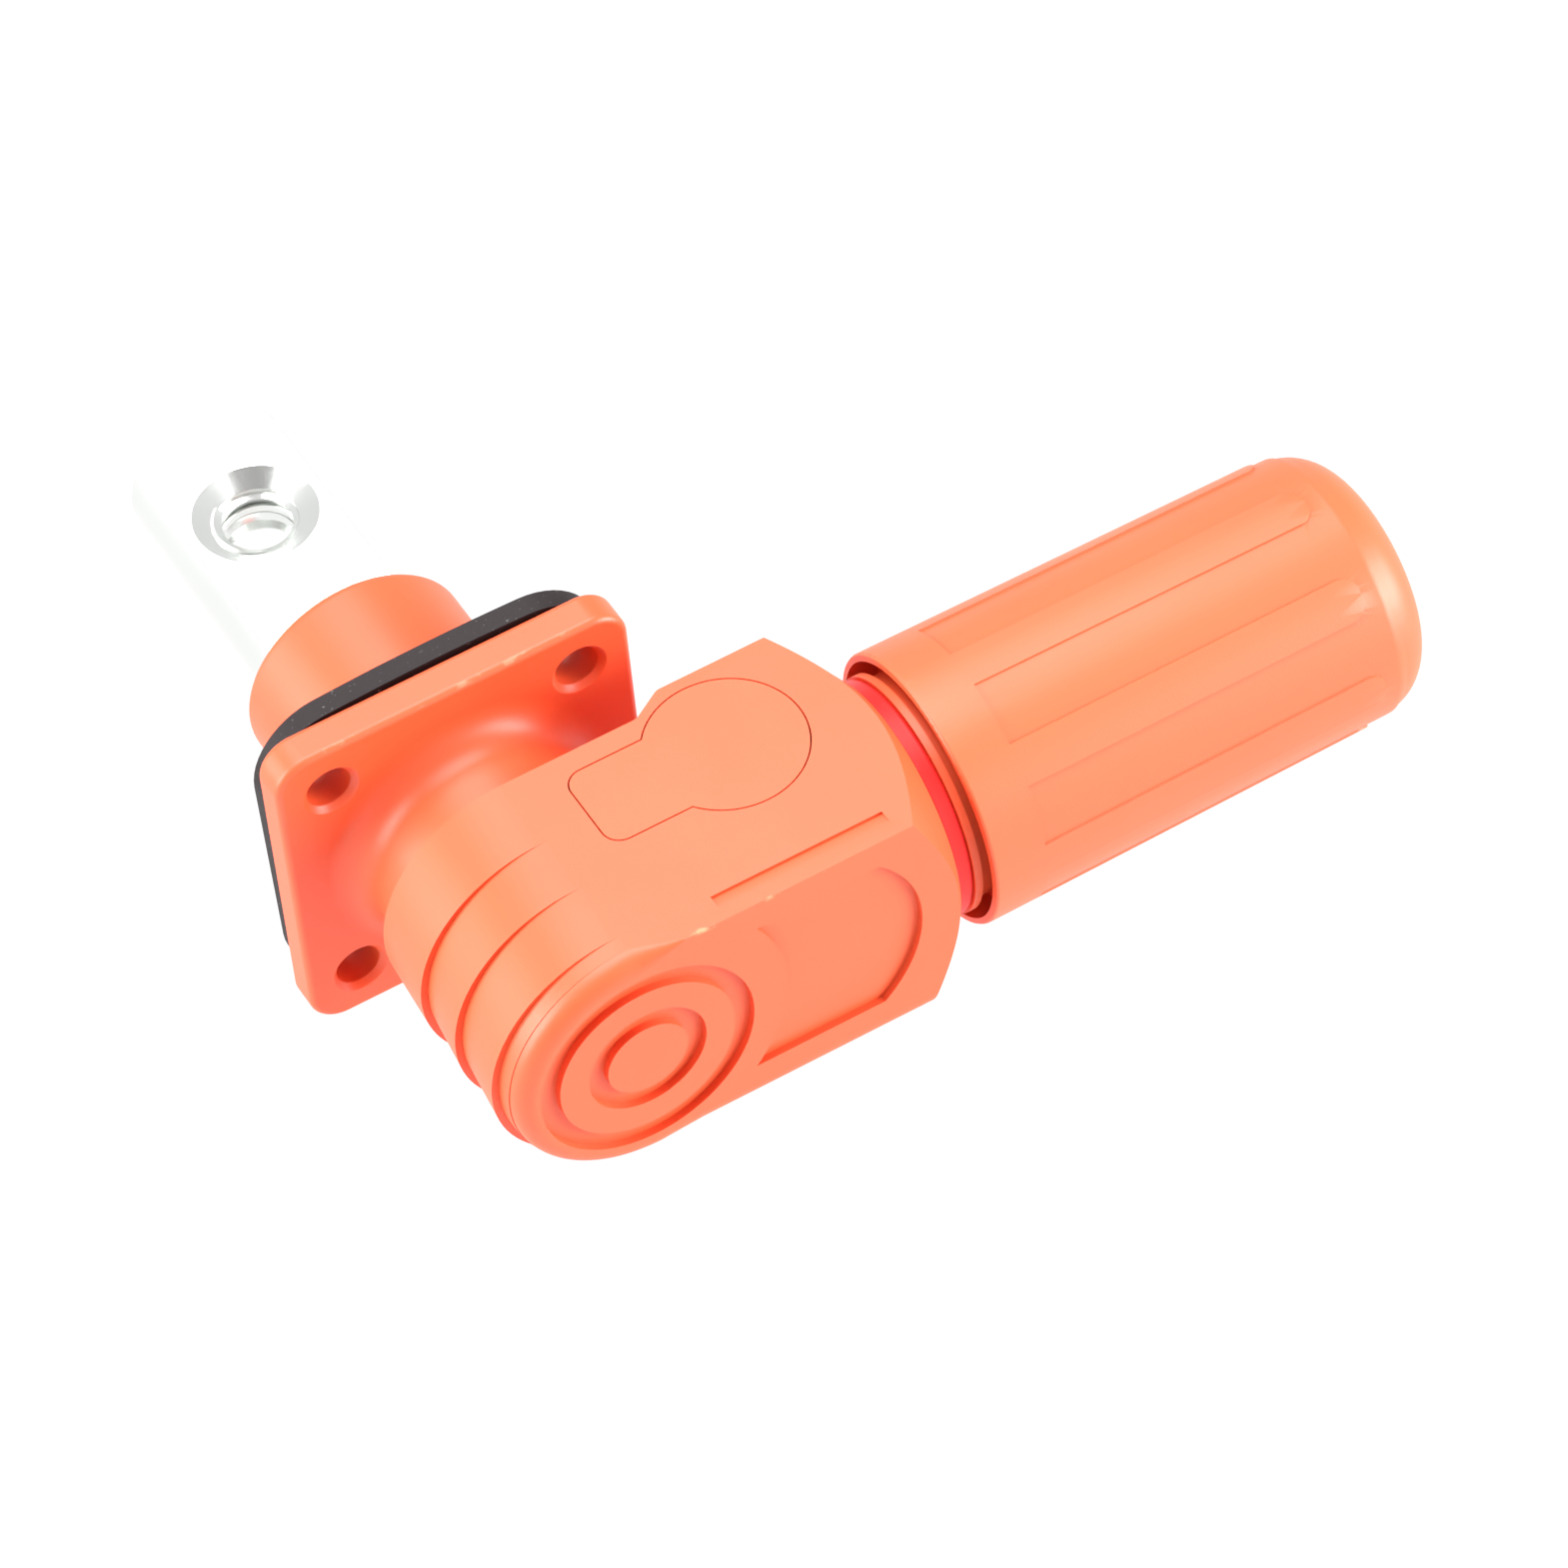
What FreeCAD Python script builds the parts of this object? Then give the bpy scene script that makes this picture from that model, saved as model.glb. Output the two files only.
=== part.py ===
import FreeCAD, Part
import math
import os

# High-current battery connector: a right-angle cable plug mated on a square-flange panel receptacle.
# Millimetres. Y is the mating axis (panel side +Y, plug side -Y), X is the cable axis, Z is up.
# The origin is on the mating axis at the back face of the flange.

V = FreeCAD.Vector
AXIS_X = V(1, 0, 0)
AXIS_Y = V(0, 1, 0)
AXIS_Z = V(0, 0, 1)
ORIGIN = V(0, 0, 0)

# Fits
SLIDING_GAP = 0.05
SEAT_GAP = 0.10
LOOSE_GAP = 0.30
THREAD_GAP = 0.07

# Radii about the mating axis, from the contact pin outwards
PIN_R = 4.0
SOCKET_BORE_R = PIN_R + 0.45
CROWN_GROOVE_R = SOCKET_BORE_R + 0.9
CARRIER_BORE_R = CROWN_GROOVE_R + 1.35
CARRIER_R = CARRIER_BORE_R + 1.9
SHROUD_BORE_R = CARRIER_R + 0.6
COLLAR_WALL = 2.3
COLLAR_R = SHROUD_BORE_R + COLLAR_WALL
RIM_BORE_R = COLLAR_R + 0.4
PLUG_HALF_HEIGHT = RIM_BORE_R + 1.8

# Receptacle housing
FLANGE_SIDE = 36.8
FLANGE_THICK = 3.9
FLANGE_CORNER_R = 3.6
FLANGE_EDGE_R = 0.7
BOLT_INSET = 5.4
BOLT_PITCH = FLANGE_SIDE - 2 * BOLT_INSET
BOLT_HOLE_R = 2.25
BOLT_HOLE_RIM = 0.6
BOSS_WALL = 2.2
BOSS_R = SHROUD_BORE_R + BOSS_WALL
BOSS_LENGTH = 18.7
BOSS_EDGE_R = 1.0
COLLAR_LENGTH = 12.7
COLLAR_ROOT_R = 3.4
LATCH_GROOVE_DEPTH = 0.6
LATCH_GROOVE_WIDTH = 1.4
LATCH_GROOVE_SETBACK = 1.2

# Busbar terminal
BAR_R = SHROUD_BORE_R - 1.1
BAR_SHOULDER_R = SHROUD_BORE_R - SEAT_GAP
BAR_SHOULDER_THICK = 2.4
BAR_FRONT_Y = -2.0
TAIL_END_Y = 48.3
TAIL_HALF_THICK = 4.0
TAIL_FLAT_START_Y = 17.2
TAIL_CHAMFER = 0.4
TAPPED_HOLE_Y = 37.1
TAPPED_HOLE_R = 4.0
COUNTERSINK_R = 6.1
COUNTERSINK_DEPTH = 1.1
PIN_LENGTH = 13.4
PIN_TIP_CHAMFER = 0.6
PIN_HOLE_R = PIN_R / 2
PIN_HOLE_DEPTH = 5.0
GUARD_CAP_R = PIN_R - 0.3
GUARD_CAP_HEAD = 1.3

# Terminal seal ring and circlip
SEAL_RING_Y = 8.0
SEAL_RING_WIRE_R = 0.60
SEAL_GROOVE_WIDTH = 1.6
SEAL_GROOVE_DEPTH = 1.2
CIRCLIP_THICK = 1.2
CIRCLIP_GROOVE_DEPTH = 0.6
CIRCLIP_GAP = 5.0
BOSS_RECESS_DEPTH = 3.2
BOSS_RECESS_R = BOSS_R - 1.2
CIRCLIP_R = BOSS_RECESS_R - 0.4

# Panel gasket
GASKET_THICK = 2.4
GASKET_INSET = 0.15
GASKET_CORNER_R = 6.0
GASKET_BORE_GAP = 0.20
GASKET_BOSS_GAP = 0.9

# Elbow housing
PLUG_HALF_DEPTH = 13.35
CABLE_AXIS_Y = -23.8
RIM_Y = -12.4
SHOULDER_X = 14.2
SHOULDER_RUN = 3.2
SHOULDER_R = 1.2
CONE_START_X = 28.8
NOSE_X = 33.4
NOSE_R = 12.7
RIM_BORE_DEPTH = 4.5
END_FILLET_R = 1.9
END_SPLIT_X = 2.0
END_FADE_X = 5.0
END_FADE_R = 0.15
BOTTOM_FILLET_R = 2.4
RIB_Y = (-20.4, -26.8, -33.6)
RIB_INSET = 0.25
RIB_LIP = 0.5
END_TAPER = 0.45
TARGET_RADII = ((4.15, 6.1), (9.1, 11.1))
TARGET_DEPTH = 0.8
DIMPLE_Z = (-8.8, 1.0, 10.3)
DIMPLE_LEFT_X = (10.7, 14.7, 12.2)
DIMPLE_RIGHT_X = (24.4, 28.95, 25.1)
DIMPLE_DEPTH = 0.7
NOTCH_X = (9.4, 27.3)
NOTCH_Y = -34.15
NOTCH_RUN = 1.5
NOTCH_DEPTH = 0.3
CARRIER_SEAT_DEPTH = 3.6

# Neck of the elbow
NECK_SEAT_R = 11.2
NECK_SEAT_LENGTH = 1.9
NECK_SINK = 4.0
NECK_RIDGE_R = 12.1
NECK_RIDGE_LENGTH = 0.8
NECK_ROOT_R = 11.3
NECK_LAND_R = 11.95
NECK_LAND_X = 46.2
NECK_END_X = 60.0
NECK_END_CHAMFER = 0.8
CABLE_BORE_R = 8.0
CABLE_BORE_X = 34.5
GROMMET_BORE_R = 9.3
GROMMET_BORE_X = 44.0

# Release button, its spring and the latch ring
BUTTON_ROUND_X = 19.5
BUTTON_Y = -19.5
BUTTON_ROUND_R = 7.7
BUTTON_TAIL_X = 5.0
BUTTON_TAIL_HALF = 4.65
BUTTON_CORNER_R = 1.8
BUTTON_THICK = 1.5
BUTTON_TRAVEL = 1.0
BUTTON_SIDE_GAP = 0.15
BUTTON_FOOT_X = (6.4, 9.0)
BUTTON_FOOT_THICK = 1.1
BUTTON_FOOT_DROP = 1.2
SPRING_R = 1.9
SPRING_WIRE_R = 0.28
SPRING_TURNS = 4
SPRING_STEPS = 10
SPRING_SIDES = 6
SPRING_POCKET_DEPTH = 3.5
LATCH_WIRE_R = 0.6
LATCH_OPENING_DEG = 50.0

# Contacts in the plug
CARRIER_TIP_Y = -4.4
GUARD_RING_THICK = 1.2
GUARD_RING_BORE_R = PIN_R + 0.6
SOCKET_WEB = 2.3
SOCKET_MOUTH_CHAMFER = 0.4
CROWN_GROOVE_Y = (-16.0, -8.0)
CROWN_GRIP_R = PIN_R + 0.06
CROWN_STRIP = 0.25
CROWN_SLATS = 12
CRIMP_R = 6.0
CRIMP_BORE_R = 4.9
CRIMP_BORE_DEPTH = 18.0
CRIMP_X = (9.2, 33.0)
TONGUE_FRONT = 4.0
TONGUE_REAR = 1.0
TONGUE_HALF_WIDTH = 4.6
TONGUE_END_R = 4.6
CONTACT_BORE_DEPTH = 4.6
BOLT_HEAD_R = SOCKET_BORE_R - 0.25
BOLT_R = BOLT_HEAD_R - 1.7
BOLT_HEAD = 2.6
BOLT_KEY_ACROSS = 4.0
BOLT_KEY_DEPTH = 1.5
BOLT_LENGTH = 7.0
WASHER_THICK = 0.8
WASHER_SPLIT = 0.6

# Interface seal, between the plug's carrier and the receptacle's shroud
FACE_SEAL_Y = (-12.4, -10.6)
FACE_SEAL_GROOVE_DEPTH = 0.85
FACE_SEAL_LIP = 0.35

# Cable gland
NECK_SEAL_WALL = 0.7
NECK_SEAL_R = NECK_SEAT_R + NECK_SEAL_WALL
NUT_X = (36.5, 85.5)
NUT_R = (13.85, 13.4)
NUT_MOUTH_R = 13.1
NUT_MOUTH_DEPTH = 3.4
NUT_MOUTH_EDGE_R = 0.4
NUT_END_R = 5.0
NUT_SHOULDER_X = 76.0
CABLE_ENTRY_R = 8.2
CABLE_ENTRY_CHAMFER = 1.0
NUT_COLLAR_LENGTH = 5.5
PAD_COUNT = 8
PAD_END_X = 79.0
PAD_HALF_WIDTH = 2.1
PAD_CORNER_R = 1.7
PAD_HEIGHT = 0.4
GROMMET_X = (44.1, 57.9)
GROMMET_WALL = 2.2
GROMMET_RIB_DEPTH = 0.5
COLLET_NOSE_R = 9.1
COLLET_R = 10.9
COLLET_BORE_R = 7.4
COLLET_NOSE_X = 59.7
COLLET_CONE_X = (62.2, 65.6)
COLLET_END_X = 74.2
COLLET_SLOT = 1.2
COLLET_SLOT_END_X = 71.0
COLLET_SLOTS = 8
THRUST_WASHER_THICK = 1.5
THRUST_WASHER_BORE_R = 8.4
THRUST_WASHER_R = 11.7

# Places that follow from the sizes above
COLLAR_FRONT_Y = -FLANGE_THICK - COLLAR_LENGTH
LATCH_GROOVE_Y = COLLAR_FRONT_Y + LATCH_GROOVE_SETBACK + LATCH_GROOVE_WIDTH / 2
FRONT_Y = CABLE_AXIS_Y - PLUG_HALF_DEPTH
BLOCK_REAR_Y = CABLE_AXIS_Y + PLUG_HALF_DEPTH
RIM_FLOOR_Y = RIM_Y - RIM_BORE_DEPTH
CARRIER_SEAT_Y = RIM_FLOOR_Y - CARRIER_SEAT_DEPTH
BAR_BORE_R = BAR_R + SLIDING_GAP
SHOULDER_SEAT_Y = BAR_FRONT_Y + BAR_SHOULDER_THICK
BUTTON_UNDERSIDE_Z = PLUG_HALF_HEIGHT - BUTTON_THICK
BUTTON_POCKET_Z = BUTTON_UNDERSIDE_Z - BUTTON_TRAVEL - SEAT_GAP
SPRING_SEAT_Z = BUTTON_POCKET_Z - SPRING_POCKET_DEPTH
TONGUE_Y = (CABLE_AXIS_Y - TONGUE_FRONT, CABLE_AXIS_Y + TONGUE_REAR)
SOCKET_MOUTH_Y = CARRIER_TIP_Y - GUARD_RING_THICK
SOCKET_WEB_Y = TONGUE_Y[1] + SOCKET_WEB
BOLT_SEAT_Y = SOCKET_WEB_Y + WASHER_THICK
LATCH_RING_R = COLLAR_R - LATCH_GROOVE_DEPTH + SLIDING_GAP + LATCH_WIRE_R
CRIMP_BORE_GAP_R = CRIMP_R + 2 * SLIDING_GAP + SEAT_GAP
CABLE_AXIS = V(0, CABLE_AXIS_Y, 0)


def rod_y(radius, y0, y1):
    """Round bar on the mating axis."""
    return Part.makeCylinder(radius, y1 - y0, V(0, y0, 0), AXIS_Y)


def tube_y(bore_r, outer_r, y0, y1):
    """Round tube on the mating axis."""
    return rod_y(outer_r, y0, y1).cut(rod_y(bore_r, y0 - 1, y1 + 1))


def rod_x(radius, x0, x1):
    """Round bar on the cable axis."""
    return Part.makeCylinder(radius, x1 - x0, V(x0, CABLE_AXIS_Y, 0), AXIS_X)


def turned_x(profile):
    """Solid of revolution about the cable axis from (x, radius) points that start and end anywhere."""
    points = [V(x, CABLE_AXIS_Y, r) for x, r in profile]
    wire = Part.makePolygon(points + points[:1])
    return Part.Face(wire).revolve(CABLE_AXIS, AXIS_X, 360)


def turned_y(profile):
    """Solid of revolution about the mating axis from (y, radius) points."""
    points = [V(0, y, r) for y, r in profile]
    wire = Part.makePolygon(points + points[:1])
    return Part.Face(wire).revolve(ORIGIN, AXIS_Y, 360)


def rounded_outline(corners):
    """Closed wire through (point, corner radius) pairs, with tangent arcs at the corners."""
    edges = []
    starts = []
    ends = []
    mids = []
    count = len(corners)
    for i, (point, radius) in enumerate(corners):
        before = corners[i - 1][0].sub(point).normalize()
        after = corners[(i + 1) % count][0].sub(point).normalize()
        half = before.getAngle(after) / 2
        if radius == 0:
            starts.append(point)
            ends.append(point)
            mids.append(None)
            continue
        back = radius / math.tan(half)
        bisector = before.add(after).normalize()
        centre = point + bisector * (radius / math.sin(half))
        starts.append(point + before * back)
        ends.append(point + after * back)
        mids.append(centre - bisector * radius)
    for i in range(count):
        if mids[i] is not None:
            edges.append(Part.Arc(starts[i], mids[i], ends[i]).toShape())
        following = starts[(i + 1) % count]
        if ends[i].distanceToPoint(following) > 1e-6:
            edges.append(Part.makeLine(ends[i], following))
    return Part.Wire(edges)


def square_plate(side, corner_r, y0, y1):
    """Square plate with rounded corners, across the mating axis."""
    half = side / 2
    corners = [(V(x, y0, z), corner_r) for x, z in ((-half, -half), (half, -half), (half, half), (-half, half))]
    return Part.Face(rounded_outline(corners)).extrude(V(0, y1 - y0, 0))


def bolt_holes(radius, y0, y1):
    """The four bolt holes of the flange, as one cutter."""
    half = BOLT_PITCH / 2
    holes = []
    for x in (-half, half):
        for z in (-half, half):
            holes.append(Part.makeCylinder(radius, y1 - y0, V(x, y0, z), AXIS_Y))
    return Part.makeCompound(holes)


def rim_edges(shape, y, side):
    """Straight and round edges of a square plate's outline at height y."""
    found = []
    for edge in shape.Edges:
        box = edge.BoundBox
        if abs(box.YMin - y) < 1e-6 and abs(box.YMax - y) < 1e-6:
            reach = max(abs(box.XMin), abs(box.XMax), abs(box.ZMin), abs(box.ZMax))
            if abs(reach - side / 2) < 1e-6:
                found.append(edge)
    return found


def receptacle_housing():
    """Moulded flange with the rear boss, the front collar and the stepped bore of the terminal."""
    flange = square_plate(FLANGE_SIDE, FLANGE_CORNER_R, -FLANGE_THICK, 0)
    flange = flange.makeFillet(FLANGE_EDGE_R, rim_edges(flange, -FLANGE_THICK, FLANGE_SIDE))
    flange = flange.makeFillet(FLANGE_EDGE_R, rim_edges(flange, 0, FLANGE_SIDE))
    boss = rod_y(BOSS_R, -FLANGE_THICK / 2, BOSS_LENGTH)
    boss = boss.makeFillet(BOSS_EDGE_R, [e for e in boss.Edges if e.BoundBox.YMin > BOSS_LENGTH - 1e-6])
    root_y = -FLANGE_THICK
    root_centre = V(0, root_y - COLLAR_ROOT_R, COLLAR_R + COLLAR_ROOT_R)
    s = math.sqrt(0.5) * COLLAR_ROOT_R
    inner = SHROUD_BORE_R
    root_r = COLLAR_R + COLLAR_ROOT_R
    edges = [
        Part.makeLine(V(0, root_y + 1, inner), V(0, root_y + 1, root_r)),
        Part.makeLine(V(0, root_y + 1, root_r), V(0, root_y, root_r)),
        Part.Arc(V(0, root_y, root_r), root_centre + V(0, s, -s),
                 V(0, root_y - COLLAR_ROOT_R, COLLAR_R)).toShape(),
        Part.makeLine(V(0, root_y - COLLAR_ROOT_R, COLLAR_R), V(0, COLLAR_FRONT_Y + 0.5, COLLAR_R)),
        Part.makeLine(V(0, COLLAR_FRONT_Y + 0.5, COLLAR_R), V(0, COLLAR_FRONT_Y, COLLAR_R - 0.5)),
        Part.makeLine(V(0, COLLAR_FRONT_Y, COLLAR_R - 0.5), V(0, COLLAR_FRONT_Y, inner)),
        Part.makeLine(V(0, COLLAR_FRONT_Y, inner), V(0, root_y + 1, inner)),
    ]
    collar = Part.Face(Part.Wire(edges)).revolve(ORIGIN, AXIS_Y, 360)
    body = flange.fuse([boss, collar])
    body = body.cut(rod_y(BAR_BORE_R, COLLAR_FRONT_Y - 1, BOSS_LENGTH + 1))
    body = body.cut(rod_y(SHROUD_BORE_R, COLLAR_FRONT_Y - 1, SHOULDER_SEAT_Y))
    body = body.cut(rod_y(BOSS_RECESS_R, BOSS_LENGTH - BOSS_RECESS_DEPTH, BOSS_LENGTH + 1))
    body = body.cut(bolt_holes(BOLT_HOLE_R, -FLANGE_THICK - 1, 1))
    half = BOLT_PITCH / 2
    for x in (-half, half):
        for z in (-half, half):
            rim = Part.makeCone(BOLT_HOLE_R + BOLT_HOLE_RIM, BOLT_HOLE_R, BOLT_HOLE_RIM,
                                V(x, -FLANGE_THICK, z), AXIS_Y)
            body = body.cut(rim)
    groove = tube_y(COLLAR_R - LATCH_GROOVE_DEPTH, COLLAR_R + 1,
                    LATCH_GROOVE_Y - LATCH_GROOVE_WIDTH / 2, LATCH_GROOVE_Y + LATCH_GROOVE_WIDTH / 2)
    return body.cut(groove).removeSplitter()


def busbar_terminal():
    """Turned bar with the contact pin in front and a tail milled flat on two sides, with a tapped hole."""
    rear_y = BAR_FRONT_Y + BAR_SHOULDER_THICK
    bar = turned_y([
        (BAR_FRONT_Y - PIN_LENGTH, 0),
        (BAR_FRONT_Y - PIN_LENGTH, PIN_R - PIN_TIP_CHAMFER),
        (BAR_FRONT_Y - PIN_LENGTH + PIN_TIP_CHAMFER, PIN_R),
        (BAR_FRONT_Y, PIN_R),
        (BAR_FRONT_Y, BAR_SHOULDER_R),
        (rear_y, BAR_SHOULDER_R),
        (rear_y, BAR_R),
        (TAIL_END_Y - TAIL_CHAMFER, BAR_R),
        (TAIL_END_Y, BAR_R - TAIL_CHAMFER),
        (TAIL_END_Y, 0),
    ])
    for side in (1, -1):
        z0 = TAIL_HALF_THICK if side > 0 else -TAIL_HALF_THICK - BAR_R
        bar = bar.cut(Part.makeBox(2 * BAR_R, TAIL_END_Y - TAIL_FLAT_START_Y + 1, BAR_R,
                                   V(-BAR_R, TAIL_FLAT_START_Y, z0)))
    bar = bar.cut(Part.makeCylinder(TAPPED_HOLE_R, 2 * BAR_R, V(0, TAPPED_HOLE_Y, -BAR_R), AXIS_Z))
    for side in (1, -1):
        bar = bar.cut(Part.makeCone(COUNTERSINK_R, TAPPED_HOLE_R, COUNTERSINK_DEPTH,
                                    V(0, TAPPED_HOLE_Y, side * TAIL_HALF_THICK), AXIS_Z * -side))
    bar = bar.cut(rod_y(PIN_HOLE_R, BAR_FRONT_Y - PIN_LENGTH - 1, BAR_FRONT_Y - PIN_LENGTH + PIN_HOLE_DEPTH))
    bar = bar.cut(tube_y(BAR_R - SEAL_GROOVE_DEPTH, BAR_R + 0.5,
                         SEAL_RING_Y - SEAL_GROOVE_WIDTH / 2, SEAL_RING_Y + SEAL_GROOVE_WIDTH / 2))
    clip_y = BOSS_LENGTH - BOSS_RECESS_DEPTH
    return bar.cut(tube_y(BAR_R - CIRCLIP_GROOVE_DEPTH, BAR_R + 1, clip_y, clip_y + CIRCLIP_THICK + SEAT_GAP))


def pin_guard_cap():
    """Insulating tip that is snapped into the end of the pin, so that a finger can't touch the metal."""
    tip_y = BAR_FRONT_Y - PIN_LENGTH
    return turned_y([
        (tip_y + PIN_HOLE_DEPTH - LOOSE_GAP, 0),
        (tip_y + PIN_HOLE_DEPTH - LOOSE_GAP, PIN_HOLE_R - SLIDING_GAP),
        (tip_y, PIN_HOLE_R - SLIDING_GAP),
        (tip_y, GUARD_CAP_R - PIN_TIP_CHAMFER),
        (tip_y - GUARD_CAP_HEAD / 2, GUARD_CAP_R - PIN_TIP_CHAMFER),
        (tip_y - GUARD_CAP_HEAD, PIN_HOLE_R),
        (tip_y - GUARD_CAP_HEAD, 0),
    ])


def terminal_seal_ring():
    """Rubber ring in the bar's groove, sealing the bar in the boss."""
    radius = BAR_R - SEAL_RING_WIRE_R
    return Part.makeTorus(radius, SEAL_RING_WIRE_R, V(0, SEAL_RING_Y, 0), AXIS_Y)


def terminal_circlip():
    """Spring-steel ring that holds the bar against its shoulder from behind."""
    clip_y = BOSS_LENGTH - BOSS_RECESS_DEPTH
    ring = tube_y(BAR_R - CIRCLIP_GROOVE_DEPTH + SLIDING_GAP, CIRCLIP_R, clip_y, clip_y + CIRCLIP_THICK)
    return ring.cut(Part.makeBox(CIRCLIP_GAP, CIRCLIP_THICK + 2, CIRCLIP_R + 1,
                                 V(-CIRCLIP_GAP / 2, clip_y - 1, -CIRCLIP_R - 1)))


def panel_gasket():
    """Flat rubber sheet behind the flange, with rounder corners than it."""
    sheet = square_plate(FLANGE_SIDE - 2 * GASKET_INSET, GASKET_CORNER_R, 0, GASKET_THICK)
    sheet = sheet.cut(rod_y(BOSS_R + GASKET_BOSS_GAP, -1, GASKET_THICK + 1))
    return sheet.cut(bolt_holes(BOLT_HOLE_R + GASKET_BORE_GAP, -1, GASKET_THICK + 1))


def end_section(y, shift):
    """Section of the round end at a place along Y: a half circle whose centre is shifted along X."""
    r = PLUG_HALF_HEIGHT
    x = END_SPLIT_X
    return Part.Wire([
        Part.makeLine(V(x, y, r), V(shift, y, r)),
        Part.Arc(V(shift, y, r), V(shift - r, y, 0), V(shift, y, -r)).toShape(),
        Part.makeLine(V(shift, y, -r), V(x, y, -r)),
        Part.makeLine(V(x, y, -r), V(x, y, r)),
    ])


def grip_bands():
    """Round end of the elbow in bands; each swells towards the front and ends in a crescent step."""
    bands = []
    rears = (RIM_Y,) + RIB_Y
    fronts = RIB_Y + (FRONT_Y,)
    for rear, front in zip(rears, fronts):
        start = 0 if rear == RIM_Y else RIB_INSET
        end = END_TAPER if front == FRONT_Y else -RIB_LIP
        bands.append(Part.makeLoft([end_section(rear, start), end_section(front, end)], True, True))
    return bands


def elbow_plan_outline():
    """Plan of the elbow: flat front, the rim of the barrel behind, and the shoulder beside the flange."""
    return rounded_outline([
        (V(END_SPLIT_X, FRONT_Y, 0), 0),
        (V(NOSE_X, FRONT_Y, 0), 0),
        (V(NOSE_X, BLOCK_REAR_Y, 0), 0),
        (V(SHOULDER_X + SHOULDER_RUN, BLOCK_REAR_Y, 0), SHOULDER_R),
        (V(SHOULDER_X, RIM_Y, 0), SHOULDER_R),
        (V(END_SPLIT_X, RIM_Y, 0), 0),
    ])


def elbow_blank():
    """Outer body of the elbow, before its recesses and bores."""
    r = PLUG_HALF_HEIGHT
    plan = Part.Face(elbow_plan_outline()).extrude(V(0, 0, 2 * r))
    plan.translate(V(0, 0, -r))
    corner_r = math.hypot(PLUG_HALF_DEPTH, r)
    slope = (corner_r - NOSE_R) / (NOSE_X - CONE_START_X)
    wide_r = 2 * corner_r
    cone_x = NOSE_X - (wide_r - NOSE_R) / slope
    envelope = turned_x([(-2 * r, 0), (-2 * r, wide_r), (cone_x, wide_r), (NOSE_X, NOSE_R), (NOSE_X, 0)])
    return plan.common(envelope).fuse(grip_bands()).removeSplitter()


def edge_round_profile(x, size):
    """Section that rounds the top front edge, at a place along X."""
    y = FRONT_Y
    z = PLUG_HALF_HEIGHT
    centre = V(x, y + size, z - size)
    s = math.sqrt(0.5) * size
    return Part.Wire([
        Part.Arc(V(x, y, z - size), centre + V(0, -s, s), V(x, y + size, z)).toShape(),
        Part.makeLine(V(x, y + size, z), V(x, y + size, z + size)),
        Part.makeLine(V(x, y + size, z + size), V(x, y - size, z + size)),
        Part.makeLine(V(x, y - size, z + size), V(x, y - size, z - size)),
        Part.makeLine(V(x, y - size, z - size), V(x, y, z - size)),
    ])


def front_edge_cutter():
    """Rounds the front edge; on top the round fades to a sharp edge, below it grows."""
    x0 = END_TAPER
    section = edge_round_profile(x0, END_FILLET_R)
    about_end = Part.Face(section).revolve(V(x0, 0, 0), AXIS_Y, -180)
    fade = Part.makeLoft([section, edge_round_profile(END_FADE_X, END_FADE_R)], True, True)
    full = edge_round_profile(END_FADE_X, BOTTOM_FILLET_R)
    growing = Part.makeLoft([section, full], True, True)
    below = growing.fuse(Part.Face(full).extrude(V(NOSE_X - END_FADE_X, 0, 0)))
    return about_end.fuse([fade, below.mirror(ORIGIN, AXIS_Z)])


def dimple_cutter():
    """Shallow recess in the front face, hollow on its left beside the target and full on its right."""
    left = [V(x, FRONT_Y - 1, z) for x, z in zip(DIMPLE_LEFT_X, DIMPLE_Z)]
    right = [V(x, FRONT_Y - 1, z) for x, z in zip(DIMPLE_RIGHT_X, DIMPLE_Z)]
    outline = Part.Wire([
        Part.Arc(*left).toShape(),
        Part.makeLine(left[2], right[2]),
        Part.Arc(*reversed(right)).toShape(),
        Part.makeLine(right[0], left[0]),
    ])
    return Part.Face(outline).extrude(V(0, DIMPLE_DEPTH + 1, 0))


def notch_cutter():
    """Wedge-shaped line along the top face, behind its front edge."""
    z = PLUG_HALF_HEIGHT
    wire = Part.makePolygon([V(NOTCH_X[0], NOTCH_Y, z + 1), V(NOTCH_X[0], NOTCH_Y, z - NOTCH_DEPTH),
                             V(NOTCH_X[0], NOTCH_Y - NOTCH_RUN, z), V(NOTCH_X[0], NOTCH_Y - NOTCH_RUN, z + 1),
                             V(NOTCH_X[0], NOTCH_Y, z + 1)])
    return Part.Face(wire).extrude(V(NOTCH_X[1] - NOTCH_X[0], 0, 0))


def keyhole(grow, z0, z1):
    """Keyhole shape of the button, grown by a side gap."""
    half = BUTTON_TAIL_HALF + grow
    x0 = BUTTON_TAIL_X - grow
    corner = BUTTON_CORNER_R + grow
    tail = rounded_outline([
        (V(x0, BUTTON_Y - half, z0), corner),
        (V(BUTTON_ROUND_X, BUTTON_Y - half, z0), 0),
        (V(BUTTON_ROUND_X, BUTTON_Y + half, z0), 0),
        (V(x0, BUTTON_Y + half, z0), corner),
    ])
    plate = Part.Face(tail).extrude(V(0, 0, z1 - z0))
    disc = Part.makeCylinder(BUTTON_ROUND_R + grow, z1 - z0, V(BUTTON_ROUND_X, BUTTON_Y, z0), AXIS_Z)
    return plate.fuse(disc).removeSplitter()


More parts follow.
